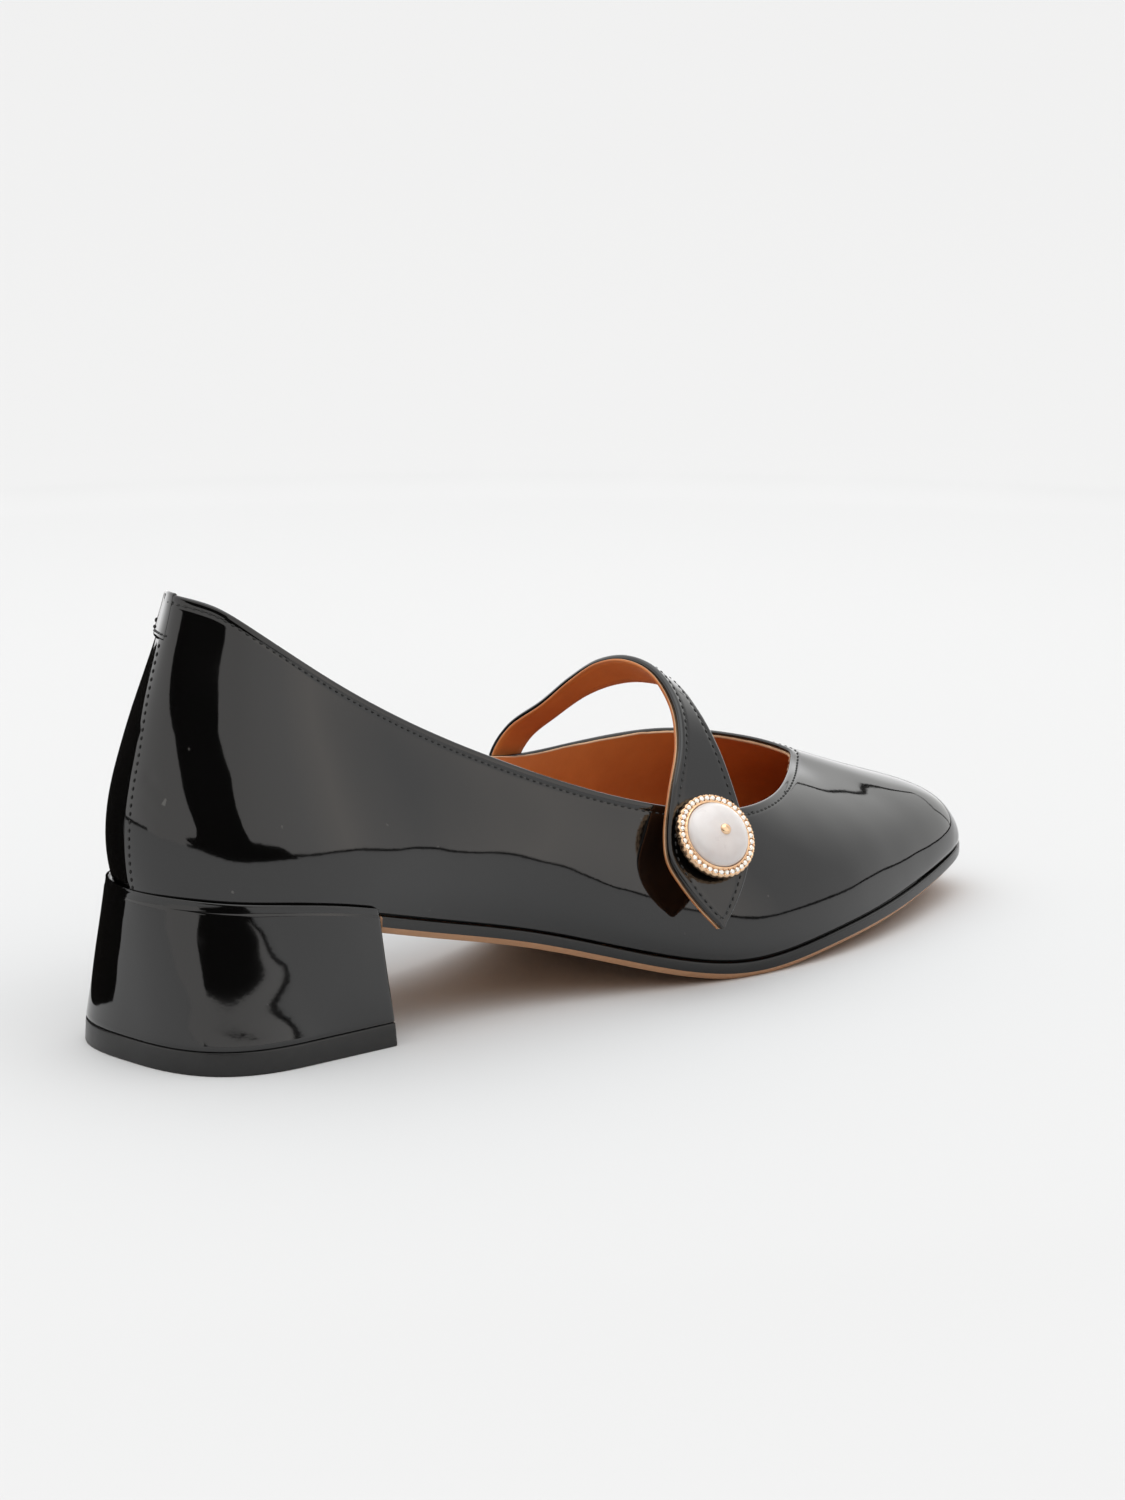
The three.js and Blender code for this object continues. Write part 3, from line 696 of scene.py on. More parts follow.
# %% [markdown]
# ## The leather sole
# A thin leather sole runs from the heel's breast to the toe. Its side is painted black and the lower corner is
# bevelled back to bare tan leather, which shows as a fine line, wider under the waist. Sections across the sole
# are lofted from the breast to the toe.

# %% Outsole
SOLE_EDGE = 2.4
SOLE_THICKNESS = 3.9
SOLE_BEVEL = 1.6
HEEL_BREAST = 49
HEEL_BREAST_SLANT = 1.0


def station_at(x):
    """The station on the outer side whose outline lies x mm from the back of the heel."""
    fine = np.linspace(0, STATIONS, 4001)
    return float(np.interp(x, outline_x(fine), fine))


sole_start = station_at(HEEL_BREAST + HEEL_BREAST_SLANT + GAP)
sole_t = STATIONS - (STATIONS - sole_start) * np.cos(np.linspace(0, math.pi / 2, 150)) ** 1.2
sole_t[-1] = STATIONS - 0.004


def sole_side(t, out, up):
    p = outline_point(t, out, up)
    p[..., 2] = np.maximum(p[..., 2], 0)
    return p


EDGE_PROFILE = [(-0.25, 0.0), (-0.06, -0.1), (0.0, -0.35), (0.0, -1.3), (0.0, -2.1), (-0.05, -SOLE_EDGE),
                (-0.12, -2.5), (-0.9, -3.28), (-SOLE_BEVEL + 0.3, -3.75), (-SOLE_BEVEL, -SOLE_THICKNESS)]
PAINTED_FACES = 5
outer_edge = np.stack([sole_side(sole_t, out, up) for out, up in EDGE_PROFILE], 1)
inner_edge = np.stack([sole_side(-sole_t, out, up) for out, up in EDGE_PROFILE], 1)
sole_across = np.linspace(0, 1, 12)[1:-1, None]
bottom = mix(outer_edge[:, None, -1], inner_edge[:, None, -1], sole_across[None])
upper_side = mix(inner_edge[:, None, 0], outer_edge[:, None, 0], sole_across[None])
sole_sections = np.concatenate([outer_edge, bottom, inner_edge[:, ::-1], upper_side], 1)
sole_points, sole_faces = loft(sole_sections)
sole_size = sole_sections.shape[1]
sole_place = np.arange(sole_size)
painted = (sole_place < PAINTED_FACES) | (sole_place >= sole_size - len(sole_across) - PAINTED_FACES - 1)
sole_paint = np.concatenate([np.tile(painted, len(sole_t) - 1), [False, True]]).astype(int)
make_piece("leather_sole", sole_points, sole_faces, [sole_leather, edge_paint], ["outsole"],
           sole_paint)

# %% [markdown]
# ## The sock
# Inside, a tan sock covers the insole from heel to toe. It is slightly padded, so its middle stands a little
# higher than its edge.

# %% Insole sock
SOCK_CLEARANCE = FEATHER_INSET + UPPER_WALL + 2 * GAP
SOCK_CROWN = 0.7
sock_t = STATIONS * (1 - np.cos(np.linspace(0.06, math.pi - 0.06, 110))) / 2
SOCK_TOP = GAP + INSOLE_THICKNESS
SOCK_PROFILE = [(0.0, GAP), (0.0, SOCK_TOP - 0.6), (-0.2, SOCK_TOP - 0.15), (-0.6, SOCK_TOP)]
sock_outer = np.stack([outline_point(sock_t, out - SOCK_CLEARANCE, up) for out, up in SOCK_PROFILE], 1)
sock_inner = np.stack([outline_point(-sock_t, out - SOCK_CLEARANCE, up) for out, up in SOCK_PROFILE], 1)
sock_across = np.linspace(0, 1, 20)[1:-1]
sock_top = mix(sock_outer[:, None, -1], sock_inner[:, None, -1], sock_across[None, :, None])
sock_top[..., 2] += SOCK_CROWN * (1 - (2 * sock_across - 1) ** 4)
sock_bottom = mix(sock_inner[:, None, 0], sock_outer[:, None, 0], np.linspace(0, 1, 6)[1:-1][None, :, None])
sock_sections = np.concatenate([sock_outer, sock_top, sock_inner[:, ::-1], sock_bottom], 1)
sock_points, sock_faces = loft(sock_sections)
make_piece("sock", sock_points, sock_faces, [sock_leather], ["insole"])

# %% [markdown]
# ## The covered heel
# The block is wrapped in the same patent as the upper. The wrap is turned in at the seat, so its upper rim
# stands a little proud of the upper and leaves a sharp dark line. The breast is flat, with narrow rounded
# corners. Rings from the foot of the block to the rim are joined, and the rim is folded in against the upper.

# %% Heel block
HEEL_RIM = 1.8
HEEL_RIM_LEDGE = 0.8
LIFT_HALF_WIDTH = 29.4
LIFT_BREAST = 52.4
LIFT_CORNER_POWER = 2.8
LIFT_FLARE = 0.06
LIFT_STRAIGHT = 0.18
CORNER_RADIUS = 1.3
heel_start = station_at(HEEL_BREAST)


def lift_point(s, height):
    """The lift's outline from the outer corner of the breast round the back to the inner corner."""
    inward = height * LIFT_FLARE
    middle = LIFT_BACK + LIFT_HALF_WIDTH
    half = LIFT_HALF_WIDTH - inward
    breast = LIFT_BREAST - inward
    angle = np.clip((s - LIFT_STRAIGHT) / (1 - 2 * LIFT_STRAIGHT), 0, 1) * math.pi
    power = 2 / LIFT_CORNER_POWER
    round_x = middle - np.abs(np.sin(angle)) ** power * (middle - LIFT_BACK - inward / 2)
    round_y = -np.sign(np.cos(angle)) * np.abs(np.cos(angle)) ** power * half
    from_end = np.minimum(s, 1 - s)
    straight_x = mix(breast, middle, np.clip(from_end / LIFT_STRAIGHT, 0, 1))
    x = np.where(from_end < LIFT_STRAIGHT, straight_x, round_x)
    y = np.where(from_end < LIFT_STRAIGHT, np.where(s < 0.5, -half, half), round_y)
    return np.stack([x, y, np.broadcast_to(height, x.shape)], -1)


def close_breast(side, radius=CORNER_RADIUS, side_count=130, chord_count=18, fillet_count=8):
    """Closes a ring with the flat breast and rounds its two corners."""
    steps = np.linalg.norm(np.diff(side, axis=0), axis=1)
    run = np.concatenate([[0], np.cumsum(steps)])
    where = np.linspace(radius, run[-1] - radius, side_count)
    kept = np.stack([np.interp(where, run, side[:, k]) for k in range(3)], 1)
    first, end = side[0], side[-1]
    chord = unit(end - first)
    chord_points = mix(end - chord * radius, first + chord * radius, np.linspace(0, 1, chord_count)[:, None])
    k = np.linspace(0, 1, fillet_count)[1:-1, None]

    def fillet(a, corner, b):
        return (1 - k) ** 2 * a + 2 * k * (1 - k) * corner + k**2 * b

    return np.concatenate([kept, fillet(kept[-1], end, chord_points[0]), chord_points,
                           fillet(chord_points[-1], first, kept[0])])


heel_s = np.linspace(0, 1, 400)
heel_t = mix(heel_start, -heel_start, heel_s)
foot_line = lift_point(heel_s, LIFT_THICKNESS + 0.06)
rim_line = outline_point(heel_t, HEEL_RIM_LEDGE, HEEL_RIM)
WRAP_LINE = 0.93
near_wrap_line = [0.915, 0.925, WRAP_LINE, 0.935, 0.945, 0.96, 0.985]
levels = np.concatenate([[0.0, 0.012], np.linspace(0.04, 0.9, 24), near_wrap_line])
rings = []
for level in levels:
    ring = close_breast(mix(foot_line, rim_line, level))
    out = unit(ring - ring.mean(0)) * [1, 1, 0]
    wrap = 0.12 * soft_step(WRAP_LINE + 0.004, WRAP_LINE - 0.004, level) if level > 0 else -0.1
    rings.append(ring + out * (wrap - 0.1) + out * unevenness(ring * 1.3)[:, None] * min(1, level * 8))
rim_ring = close_breast(rim_line)
rim_in = unit(rim_ring.mean(0) - rim_ring) * [1, 1, 0]
RIM_FOLD = [(0.0, -0.25), (0.12, -0.06), (0.35, 0.0), (0.6, -0.1), (0.75, -0.5), (0.9, -1.6)]
for inward, up in RIM_FOLD:
    rings.append(rim_ring + rim_in * inward + [0, 0, up])
heel_points, heel_faces = loft(np.array(rings))
make_piece("covered_heel", heel_points, heel_faces, [heel_patent], ["heel"])

# %% [markdown]
# ## The top lift
# A slab of black rubber, cut flush with the heel, with its corners just broken.

# %% Top lift
LIFT_LEVELS = [(0.0, 0.35), (0.12, 0.1), (0.4, 0.0), (4.9, 0.0), (5.2, 0.03), (5.32, 0.16)]
lift_rings = []
for height, inset in LIFT_LEVELS:
    ring = close_breast(lift_point(heel_s, height), radius=0.9)
    lift_rings.append(ring - unit((ring - ring.mean(0)) * [1, 1, 0]) * inset)
lift_points, lift_faces = loft(np.array(lift_rings))
make_piece("rubber_lift", lift_points, lift_faces, [rubber], ["top_lift"])

# %% [markdown]
# ## The strap
# Two layers: black patent on the outside with its edges turned, and tan leather behind it, cut a hair wider so
# that it shows as a fine line. The strap is sewn to the inner quarter, crosses over the instep with its rear
# edge a little higher than the front one, and widens into a pointed tab that carries the button and stands off
# the outer quarter.

# %% The strap's two edges
# x in mm from the back of the heel, y in mm, z in % of INSTEP_HEIGHT.
STRAP_COLUMNS = ["rear_x", "rear_y", "rear_z", "front_x", "front_y", "front_z"]
STRAP = [
    [133.0, 34.5, 33.0, 143.5, 36.5, 30.0],
    [133.5, 33.6, 47.0, 143.2, 34.7, 44.5],
    [134.6, 33.4, 60.0, 142.8, 33.6, 57.0],
    [137.0, 30.3, 69.5, 143.6, 30.3, 65.0],
    [139.4, 21.3, 79.4, 144.9, 22.3, 74.4],
    [140.6, 13.0, 89.2, 146.7, 13.9, 83.1],
    [141.6, 4.8, 96.9, 148.1, 5.8, 88.4],
    [142.3, -4.1, 100.2, 149.0, -3.3, 91.5],
    [142.6, -13.0, 98.0, 149.1, -13.4, 91.2],
    [141.0, -21.8, 89.0, 148.6, -22.1, 84.3],
    [137.0, -27.9, 77.9, 149.1, -28.1, 74.1],
    [130.9, -32.2, 64.6, 149.7, -33.2, 60.1],
    [127.3, -34.6, 52.8, 148.8, -37.5, 50.3],
    [125.4, -37.7, 45.0, 147.3, -40.9, 42.7],
    [126.6, -41.3, 37.4, 143.5, -43.5, 36.1],
    [129.6, -44.3, 29.6, 139.2, -45.0, 29.1],
    [133.5, -46.0, 22.9, 134.5, -46.0, 22.7],
]


def through(points):
    """A centripetal Catmull-Rom curve through the points, for places from 0 to 1."""
    points = np.concatenate([[2 * points[0] - points[1]], points, [2 * points[-1] - points[-2]]])
    spacing = np.linalg.norm(np.diff(points, axis=0), axis=1) ** 0.5

    def at(a):
        place = np.clip(a, 0, 1) * (len(points) - 3)
        i = np.minimum(np.floor(place).astype(int), len(points) - 4)
        f = (place - i)[..., None]
        p0, p1, p2, p3 = (points[i + k] for k in range(4))
        d0, d1, d2 = (spacing[i + k][..., None] for k in range(3))
        start = ((p1 - p0) / d0 - (p2 - p0) / (d0 + d1) + (p2 - p1) / d1) * d1
        end = ((p2 - p1) / d1 - (p3 - p1) / (d1 + d2) + (p3 - p2) / d2) * d1
        return p1 + f * start + f**2 * (3 * (p2 - p1) - 2 * start - end) + f**3 * (2 * (p1 - p2) + start + end)

    return at


strap = columns_of(STRAP, STRAP_COLUMNS)
rise = INSTEP_HEIGHT / 100
rear_edge = through(np.stack([strap["rear_x"], strap["rear_y"], strap["rear_z"] * rise], 1))
front_edge = through(np.stack([strap["front_x"], strap["front_y"], strap["front_z"] * rise], 1))


def strap_axes(a, step=0.004):
    """Both edges, the direction across the strap, and straight out of its face, at places from 0 to 1."""
    rear, front = rear_edge(a), front_edge(a)
    across = unit(front - rear)
    before, after = np.maximum(a - step, 0), np.minimum(a + step, 1)
    along = (rear_edge(after) + front_edge(after)) / 2 - (rear_edge(before) + front_edge(before)) / 2
    return rear, front, across, unit(np.cross(along, across))


# %% Strap layers
STRAP_HALF = 1.1
BLACK_INSET = 0.25
LAYER_JOINT = -0.5
STRAP_STITCH_INSET = 2.1
BACK_POINTS = 4
strap_a = np.linspace(0, 1, 260)
rear, front, strap_across, strap_normal = strap_axes(strap_a)
strap_width = np.linalg.norm(front - rear, axis=1)


def strap_layer(inset, low, high, edge_radius, flat_count=26, groove=0.0):
    """A closed section at each place: a face with rounded edges, and a flat back."""
    sections = []
    for i, width in enumerate(strap_width):
        side = min(inset, 0.25 * width)
        half = width / 2 - side
        radius = min(edge_radius, half * 0.6)
        angles = np.linspace(0, math.pi / 2, 6)[:-1]
        corner_y = half - radius + radius * np.cos(angles)
        corner_z = high - radius + radius * np.sin(angles)
        flat_y = np.linspace(half - radius, -half + radius, flat_count)
        sink = groove * np.exp(-(((half - np.abs(flat_y) - STRAP_STITCH_INSET + inset) / 0.35) ** 2))
        back_y = np.linspace(-half, half, BACK_POINTS + 2)[1:-1]
        y = np.concatenate([[half], corner_y, flat_y, -corner_y[::-1], [-half], back_y])
        z = np.concatenate([[low], corner_z, high - sink, corner_z[::-1], [low], np.full(BACK_POINTS, low)])
        centre = (rear[i] + front[i]) / 2
        sections.append(centre + y[:, None] * strap_across[i] + z[:, None] * strap_normal[i])
    return np.array(sections)


black = strap_layer(BLACK_INSET, LAYER_JOINT + 0.02, STRAP_HALF, 0.8, groove=0.15)
black_points, black_faces = loft(black)
make_piece("strap_patent", black_points, black_faces, [patent], ["strap"])
tan = strap_layer(0.0, -STRAP_HALF, LAYER_JOINT, 0.08, flat_count=12)
tan_points, tan_faces = loft(tan)
tan_size = tan.shape[1]
backing = np.arange(tan_size) >= tan_size - BACK_POINTS - 2
tan_paint = np.concatenate([np.tile(~backing, len(tan) - 1), [True, True]]).astype(int)
make_piece("strap_lining", tan_points, tan_faces, [lining_leather, raw_edge], ["strap"],
           tan_paint)

# %% Strap stitches
last_full = int(np.argmax((strap_a > 0.8) & (strap_width < 3.4 * STRAP_STITCH_INSET)))
lift_up = strap_normal * STRAP_HALF
rear_row = rear + strap_across * STRAP_STITCH_INSET + lift_up
front_row = front - strap_across * STRAP_STITCH_INSET + lift_up
tip = ((rear + front) / 2 + lift_up)[last_full + 3 :][:1]
whole = np.concatenate([rear_row[4:last_full], tip, front_row[4:last_full][::-1]])
whole_normals = np.concatenate([strap_normal[4:last_full], strap_normal[last_full : last_full + 1],
                                strap_normal[4:last_full][::-1]])
steps = np.linalg.norm(np.diff(whole, axis=0), axis=1)
run = np.concatenate([[0], np.cumsum(steps)]) / steps.sum()
even = np.linspace(0, 1, len(whole))
even_normals = np.stack([np.interp(even, run, whole_normals[:, k]) for k in range(3)], 1)
stitch_row("strap_stitches", whole, even_normals, lift=-0.13)

# %% [markdown]
# ## The button
# A gilt setting with a ring of small clear stones round half a pearl, and a plain round stud on the pearl.
# Turned pieces are profiles swung round the button's axis, and the stones and the beads that hold them are one
# shape repeated round a circle.

# %% Button axes and turned pieces
BUTTON_CENTRE = np.array([137.3, -39.4, 35.1])
BUTTON_FACING = unit(np.array([-0.09, -0.835, 0.54]))
BUTTON_SIDE = unit(np.cross(BUTTON_FACING, [0, 0, 1]))
BUTTON_UP = np.cross(BUTTON_SIDE, BUTTON_FACING)
PEARL_RADIUS = 7.7
STONE_COUNT = 38
STONE_CIRCLE = 8.95
TURNED_SIDES = 152


def on_button(x, y, z):
    """Button coordinates to the shoe's: x and y lie in its face and z points away from the strap."""
    return BUTTON_CENTRE + x[..., None] * BUTTON_SIDE + y[..., None] * BUTTON_UP + z[..., None] * BUTTON_FACING


def turned(profile, scallop=0.0):
    """A profile of (radius, height) swung round the axis. scallop gives the rim one bump for each stone."""
    angle = np.arange(TURNED_SIDES) / TURNED_SIDES * math.tau
    radius, height = np.array(profile).T
    wave = 1 + scallop * np.cos(STONE_COUNT * angle)[None, :] * (radius > STONE_CIRCLE)[:, None]
    x = radius[:, None] * wave * np.cos(angle)
    y = radius[:, None] * wave * np.sin(angle)
    points = on_button(x, y, np.repeat(height[:, None], TURNED_SIDES, 1))
    return points.reshape(-1, 3), grid_faces(len(profile), TURNED_SIDES, close_columns=True).tolist()


def capped(points, faces, rows):
    """Closes a turned piece with one face at each end of its profile."""
    first = list(range(TURNED_SIDES))
    last_ring = [v + (rows - 1) * TURNED_SIDES for v in first]
    return points, faces + [first, last_ring]


# %% Gilt, stones and pearl finishes
def gilt_metal():
    material, nodes, links, shader = new_material("rose_gilt")
    tone = noise(nodes, links, 900, 4.0)
    golds = [(0.3, (0.82, 0.5, 0.3)), (0.7, (0.92, 0.66, 0.42))]
    links.new(ramp(nodes, links, tone, golds), shader.inputs["Base Color"])
    shader.inputs["Metallic"].default_value = 1.0
    links.new(span(nodes, links, noise(nodes, links, 2200), 0.1, 0.24), shader.inputs["Roughness"])
    bump(nodes, links, shader, noise(nodes, links, 2600, 3.0), 0.00003, 0.4)
    return material


def stone_glass():
    material, nodes, links, shader = new_material("foiled_stone")
    tone = noise(nodes, links, 700, 1.0)
    foils = [(0.3, (0.95, 0.9, 0.78)), (0.6, (0.97, 0.97, 0.95))]
    links.new(ramp(nodes, links, tone, foils), shader.inputs["Base Color"])
    shader.inputs["Metallic"].default_value = 0.75
    shader.inputs["Roughness"].default_value = 0.04
    shader.inputs["Coat Weight"].default_value = 1.0
    shader.inputs["Coat Roughness"].default_value = 0.01
    return material


def pearl_finish():
    material, nodes, links, shader = new_material("pearl_lacquer")
    cloud = noise(nodes, links, 160, 3.0)
    tints = [(0.35, (0.65, 0.61, 0.605)), (0.65, (0.72, 0.7, 0.7))]
    links.new(ramp(nodes, links, cloud, tints), shader.inputs["Base Color"])
    links.new(span(nodes, links, noise(nodes, links, 300), 0.24, 0.34), shader.inputs["Roughness"])
    shader.inputs["Coat Weight"].default_value = 1.0
    shader.inputs["Coat Roughness"].default_value = 0.1
    shader.inputs["Subsurface Weight"].default_value = 0.15
    shader.inputs["Subsurface Radius"].default_value = (0.002, 0.0016, 0.0014)
    shader.inputs["Sheen Weight"].default_value = 0.2
    bump(nodes, links, shader, noise(nodes, links, 120, 2.0), 0.00008, 0.3)
    return material


gilt, stone, pearl = gilt_metal(), stone_glass(), pearl_finish()

# %% Gilt setting
# Profiles are (radius, height) in mm.
SCALLOP = 0.012
CUP_PROFILE = [
    (0.3, 0.1), (9.2, 0.1), (9.75, 0.35), (10.0, 0.9), (9.95, 1.4), (9.8, 1.9), (9.66, 2.12), (9.5, 2.1),
    (9.4, 1.75), (8.95, 1.5), (8.45, 1.75), (8.32, 2.2), (8.18, 2.42), (7.98, 2.5), (7.82, 2.4), (7.78, 2.0),
    (7.76, 1.3), (0.3, 1.25),
]
cup_points, cup_faces = capped(*turned(CUP_PROFILE, SCALLOP), len(CUP_PROFILE))
make_piece("gilt_setting", cup_points, cup_faces, [gilt], ["button_bezel"])


def round_copies(shape_rings, count, circle, height, turn=0.0, sides=8):
    """Small turned shapes, repeated round the button: shape_rings are (radius, height) of one copy."""
    all_points, all_faces = [], []
    radius, level = np.array(shape_rings).T
    local = np.arange(sides) / sides * math.tau + math.pi / sides
    one = grid_faces(len(shape_rings), sides, close_columns=True).tolist()
    one += [list(range(sides)), [v + (len(shape_rings) - 1) * sides for v in range(sides)]]
    for k in range(count):
        angle = (k + turn) / count * math.tau
        x = circle * math.cos(angle) + radius[:, None] * np.cos(local + angle)
        y = circle * math.sin(angle) + radius[:, None] * np.sin(local + angle)
        z = height + np.repeat(level[:, None], sides, 1)
        all_points.append(on_button(x, y, z).reshape(-1, 3))
        all_faces += [[v + k * len(shape_rings) * sides for v in quad] for quad in one]
    return np.concatenate(all_points), all_faces


STONE_SHAPE = [(0.1, -0.35), (0.66, 0.1), (0.68, 0.18), (0.5, 0.42), (0.3, 0.52)]
BEAD_SHAPE = [(0.1, -0.3), (0.24, -0.1), (0.27, 0.05), (0.22, 0.2), (0.1, 0.28)]
STONE_HEIGHT = 1.85
OUTER_BEADS = (9.55, 2.05)
INNER_BEADS = (8.3, 2.2)
BETWEEN_STONES = 0.5
stone_points, stone_faces = round_copies(STONE_SHAPE, STONE_COUNT, STONE_CIRCLE, STONE_HEIGHT)
make_piece("stones", stone_points, stone_faces, [stone], flat=True)
outer_points, outer_faces = round_copies(BEAD_SHAPE, STONE_COUNT, *OUTER_BEADS, BETWEEN_STONES)
inner_points, inner_faces = round_copies(BEAD_SHAPE, STONE_COUNT, *INNER_BEADS, BETWEEN_STONES)
bead_points = np.concatenate([outer_points, inner_points])
bead_faces = outer_faces + [[v + len(outer_points) for v in quad] for quad in inner_faces]
make_piece("setting_beads", bead_points, bead_faces, [gilt])

# %% Pearl and its plain stud
PEARL_LOW = 1.5
PEARL_WALL = 0.7
PEARL_DOME = 3.7
dome = np.linspace(0, math.pi / 2, 24)
dome_profile = [(0.2, PEARL_LOW), (PEARL_RADIUS - 0.15, PEARL_LOW), (PEARL_RADIUS, PEARL_LOW + 0.15)]
for angle in dome:
    dome_radius = max(0.05, PEARL_RADIUS * math.cos(angle) ** 0.92)
    dome_profile.append((dome_radius, PEARL_LOW + PEARL_WALL + PEARL_DOME * math.sin(angle)))
pearl_points, pearl_faces = capped(*turned(dome_profile), len(dome_profile))
make_piece("pearl", pearl_points, pearl_faces, [pearl], ["button_pearl"])
STUD_BASE = PEARL_LOW + PEARL_WALL + PEARL_DOME - 0.25
STUD_SHAPE = [(0.1, 0.0), (1.25, 0.0), (1.3, 0.3), (1.15, 0.62), (0.7, 0.9), (0.05, 1.0)]
stud_profile = [(radius, STUD_BASE + height) for radius, height in STUD_SHAPE]
stud_points, stud_faces = capped(*turned(stud_profile), len(stud_profile))
make_piece("gilt_stud", stud_points, stud_faces, [gilt])

# %% [markdown]
# ## Floor, light and what the patent reflects
# Patent leather shows the room more than itself. The room is a plain pale floor under a soft white sky that is
# brightest overhead, as with large softboxes. Black shoes are kept readable with a pale surround and a few dark
# cards: thin lines where the floor and the backdrop end, a tall shape beside the camera that leaves a streak on
# the counter, and a low one on the inner side. Surround and cards are seen only in reflections.

# %% Plain floor
def plain_material(name, colour, roughness):
    material, nodes, links, shader = new_material(name)
    tone = noise(nodes, links, 3, 2.0)
    dark = tuple(0.995 * c for c in colour)
    links.new(ramp(nodes, links, tone, [(0.3, dark), (0.7, colour)]), shader.inputs["Base Color"])
    shader.inputs["Roughness"].default_value = roughness
    shader.inputs["Specular IOR Level"].default_value = 0.2
    return material


def flat_stage(name, corners, material, only_reflected=False):
    mesh = bpy.data.meshes.new(name)
    mesh.from_pydata([tuple(c) for c in corners], [], grid_faces(2, len(corners) // 2).tolist())
    mesh.materials.append(material)
    card = bpy.data.objects.new(name, mesh)
    bpy.context.scene.collection.objects.link(card)
    if only_reflected:
        card.visible_camera = False
        card.visible_diffuse = False
        card.visible_shadow = False
        card.visible_transmission = False
    return card


FLOOR_HALF = 30
FLOOR_COLOUR = (0.652, 0.665, 0.682)
FLOOR_ROUGHNESS = 0.9
floor_corners = [(x, y, 0) for y in (-FLOOR_HALF, FLOOR_HALF) for x in (-FLOOR_HALF, FLOOR_HALF)]
flat_stage("floor", floor_corners, plain_material("pale_floor", FLOOR_COLOUR, FLOOR_ROUGHNESS))

# %% Soft sky
# Bright and very slightly cool overhead, dim and warm near the floor: shadows under the shoe, which see only
# the low part, come out warm.
SKY_STRENGTH = 2.1
SKY_COLOURS = [
    (0.0, (0.16, 0.1, 0.06)),
    (0.45, (0.3, 0.255, 0.215)),
    (0.8, (0.85, 0.86, 0.86)),
    (1.0, (0.98, 1.0, 1.0)),
]
world = bpy.data.worlds.new("soft_studio")
world.use_nodes = True
bpy.context.scene.world = world
sky_nodes, sky_links = world.node_tree.nodes, world.node_tree.links
sky_place = sky_nodes.new("ShaderNodeTexCoord")
sky_split = sky_nodes.new("ShaderNodeSeparateXYZ")
sky_links.new(sky_place.outputs["Generated"], sky_split.inputs["Vector"])
sky_colour = ramp(sky_nodes, sky_links, sky_split.outputs["Z"], SKY_COLOURS)
sky_links.new(sky_colour, sky_nodes["Background"].inputs["Color"])
sky_nodes["Background"].inputs["Strength"].default_value = SKY_STRENGTH

# %% Card helpers
def card_material(name, colour, strength=1.0):
    material = bpy.data.materials.new(name)
    material.use_nodes = True
    nodes = material.node_tree.nodes
    nodes.remove(nodes["Principled BSDF"])
    glow = nodes.new("ShaderNodeEmission")
    glow.inputs["Color"].default_value = (*colour, 1)
    glow.inputs["Strength"].default_value = strength
    material.node_tree.links.new(glow.outputs["Emission"], nodes["Material Output"].inputs["Surface"])
    return material


def ring_card(name, azimuths, low, high, distance, material):
    """An upright card curved round the shoe's middle: azimuths in degrees, heights and distance in metres."""
    angles = np.radians(np.linspace(*azimuths, 73))
    circle = [(distance * math.cos(a), distance * math.sin(a)) for a in angles]
    corners = [(x, y, low) for x, y in circle] + [(x, y, high) for x, y in circle]
    card = flat_stage(name, corners, material, only_reflected=True)
    card.location = (shoe_middle.x, 0, 0)


def surround_material(name, levels, strength):
    """A glow that changes gently with azimuth: levels are (azimuth in degrees, colour)."""
    material = card_material(name, (1, 1, 1), strength)
    nodes, links = material.node_tree.nodes, material.node_tree.links
    place = nodes.new("ShaderNodeTexCoord")
    turn = nodes.new("ShaderNodeTexGradient")
    turn.gradient_type = "RADIAL"
    links.new(place.outputs["Object"], turn.inputs["Vector"])
    stops = [(0.5 + azimuth / 360, colour) for azimuth, colour in levels]
    links.new(ramp(nodes, links, turn.outputs["Fac"], stops), nodes["Emission"].inputs["Color"])
    return material


def cut_card(name, centre, distance, outline, material):
    """A card cut to an outline and bent round a centre. Each outline row is height, left and right azimuth."""
    outline = np.array(outline, float)
    heights = np.linspace(outline[0, 0], outline[-1, 0], 60)
    corners = []
    for side in (1, 2):
        angles = np.radians(np.interp(heights, outline[:, 0], outline[:, side]))
        x = centre[0] + distance * np.cos(angles)
        y = centre[1] + distance * np.sin(angles)
        corners += np.stack([x, y, heights], 1).tolist()
    flat_stage(name, corners, material, only_reflected=True)


# %% Pale surround, seen only in the patent
SURROUND_RADIUS = 0.55
SURROUND_HEIGHT = 0.9
SURROUND_LEVELS = [
    (-179.9, (0.5, 0.49, 0.48)),
    (-110.0, (0.5, 0.49, 0.48)),
    (-75.0, (0.56, 0.55, 0.54)),
    (-62.0, (0.66, 0.63, 0.6)),
    (-46.0, (0.42, 0.42, 0.42)),
    (-25.0, (0.4, 0.4, 0.4)),
    (5.0, (0.62, 0.62, 0.61)),
    (21.0, (0.7, 0.7, 0.69)),
    (25.0, (0.85, 0.85, 0.85)),
    (90.0, (0.7, 0.7, 0.7)),
    (179.9, (0.5, 0.49, 0.48)),
]
SURROUND_STRENGTH = 2.0
surround = surround_material("pale_surround", SURROUND_LEVELS, SURROUND_STRENGTH)
ring_card("pale_surround", (-180, 180), 0.0, SURROUND_HEIGHT, SURROUND_RADIUS, surround)

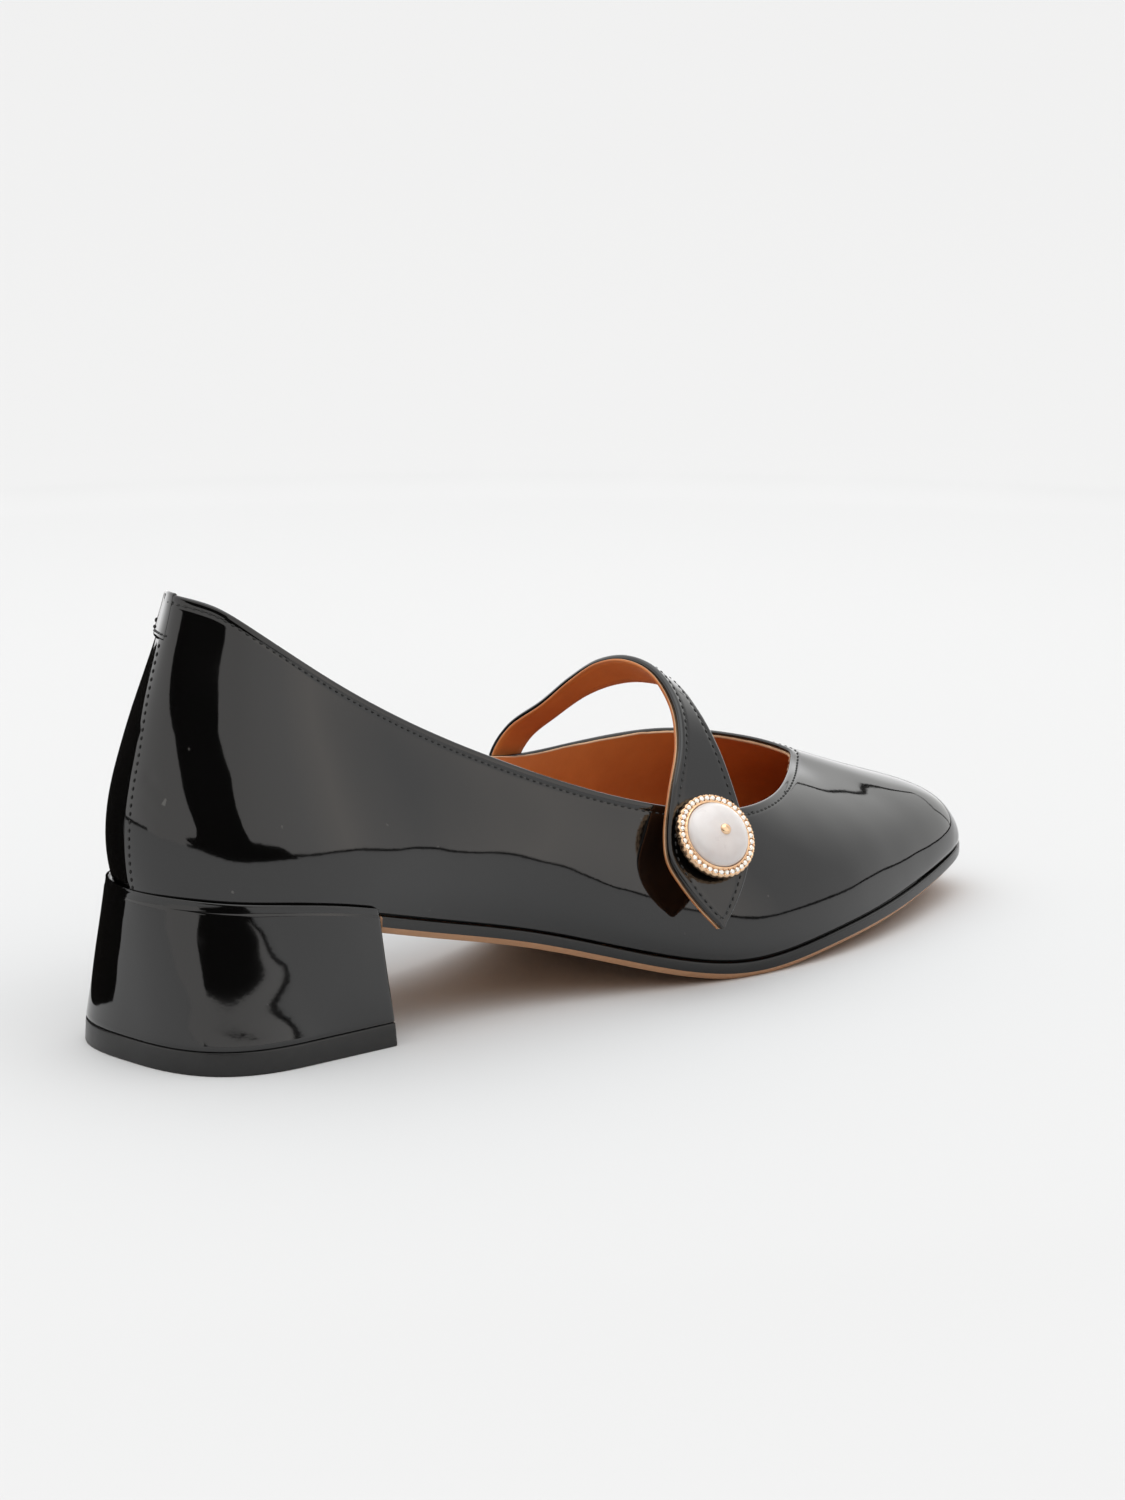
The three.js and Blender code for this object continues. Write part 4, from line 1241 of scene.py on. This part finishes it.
# %% Dark lines
# The floor's far edge is a thin dark line. It is left open straight behind the shoe, so that it doesn't cross
# the heel's curve. A second thin line is the edge of the backdrop, beyond the toe. Each row of a cut card is a
# height in metres, then its left and right azimuth in degrees.
JUST_INSIDE = SURROUND_RADIUS - 0.004
HORIZON_HEIGHT = 0.008
HORIZON_ENDS = (-160, 168)
BACKDROP_CENTRE = (shoe_middle.x, shoe_middle.y)
BACKDROP_EDGE = [
    (0.0, 8.2, 9.2),
    (0.028, 8.8, 9.8),
    (0.053, 7.8, 8.8),
    (0.1, 7.0, 8.0),
    (0.13, 7.2, 8.2),
    (0.155, 10.5, 11.7),
    (0.172, 14.6, 16.0),
    (0.182, 17.8, 18.8),
    (0.26, 17.9, 18.7),
]
dark = card_material("dark_card", (0.01, 0.009, 0.008))
ring_card("horizon_card", HORIZON_ENDS, 0.0, HORIZON_HEIGHT, JUST_INSIDE, dark)
cut_card("backdrop_edge", BACKDROP_CENTRE, JUST_INSIDE, BACKDROP_EDGE, dark)

# %% Dark shapes
# The shape of somebody standing beside the camera, with a paler sleeve, leaves the streak on the counter and
# the patch on the heel. A low card on the inner side stands for the shoe's pair.
COUNTER = (-0.014, -0.012)
STREAK_DISTANCE = 0.25
SLEEVE_DISTANCE = 0.245
STREAK = [
    (0.0245, -148, -68),
    (0.03, -154, -70),
    (0.037, -158, -74),
    (0.043, -146, -90),
    (0.06, -146, -94),
    (0.08, -150, -98),
    (0.109, -158, -105),
    (0.15, -170, -124),
    (0.17, -188, -128),
    (0.185, -200, -134),
    (0.2, -180, -150),
]
SLEEVE = [
    (0.072, -117, -106),
    (0.1, -127, -116),
    (0.13, -143, -131),
    (0.165, -160, -150),
    (0.175, -157, -153),
]
sleeve = card_material("sleeve_card", (0.42, 0.33, 0.38))
cut_card("streak_card", COUNTER, STREAK_DISTANCE, STREAK, dark)
cut_card("sleeve_card", COUNTER, SLEEVE_DISTANCE, SLEEVE, sleeve)
PAIR_LINE = [(-0.06, 0.062), (0.09, 0.085)]
PAIR_HEIGHT = 0.082
pair_corners = [(x, y, z) for z in (0.0, PAIR_HEIGHT) for x, y in PAIR_LINE]
flat_stage("pair_card", pair_corners, dark, only_reflected=True)

# %% [markdown]
# ## The last line
# Colours are shown through the Standard view transform.

# %% Colour handling
bpy.context.scene.view_settings.view_transform = "Standard"
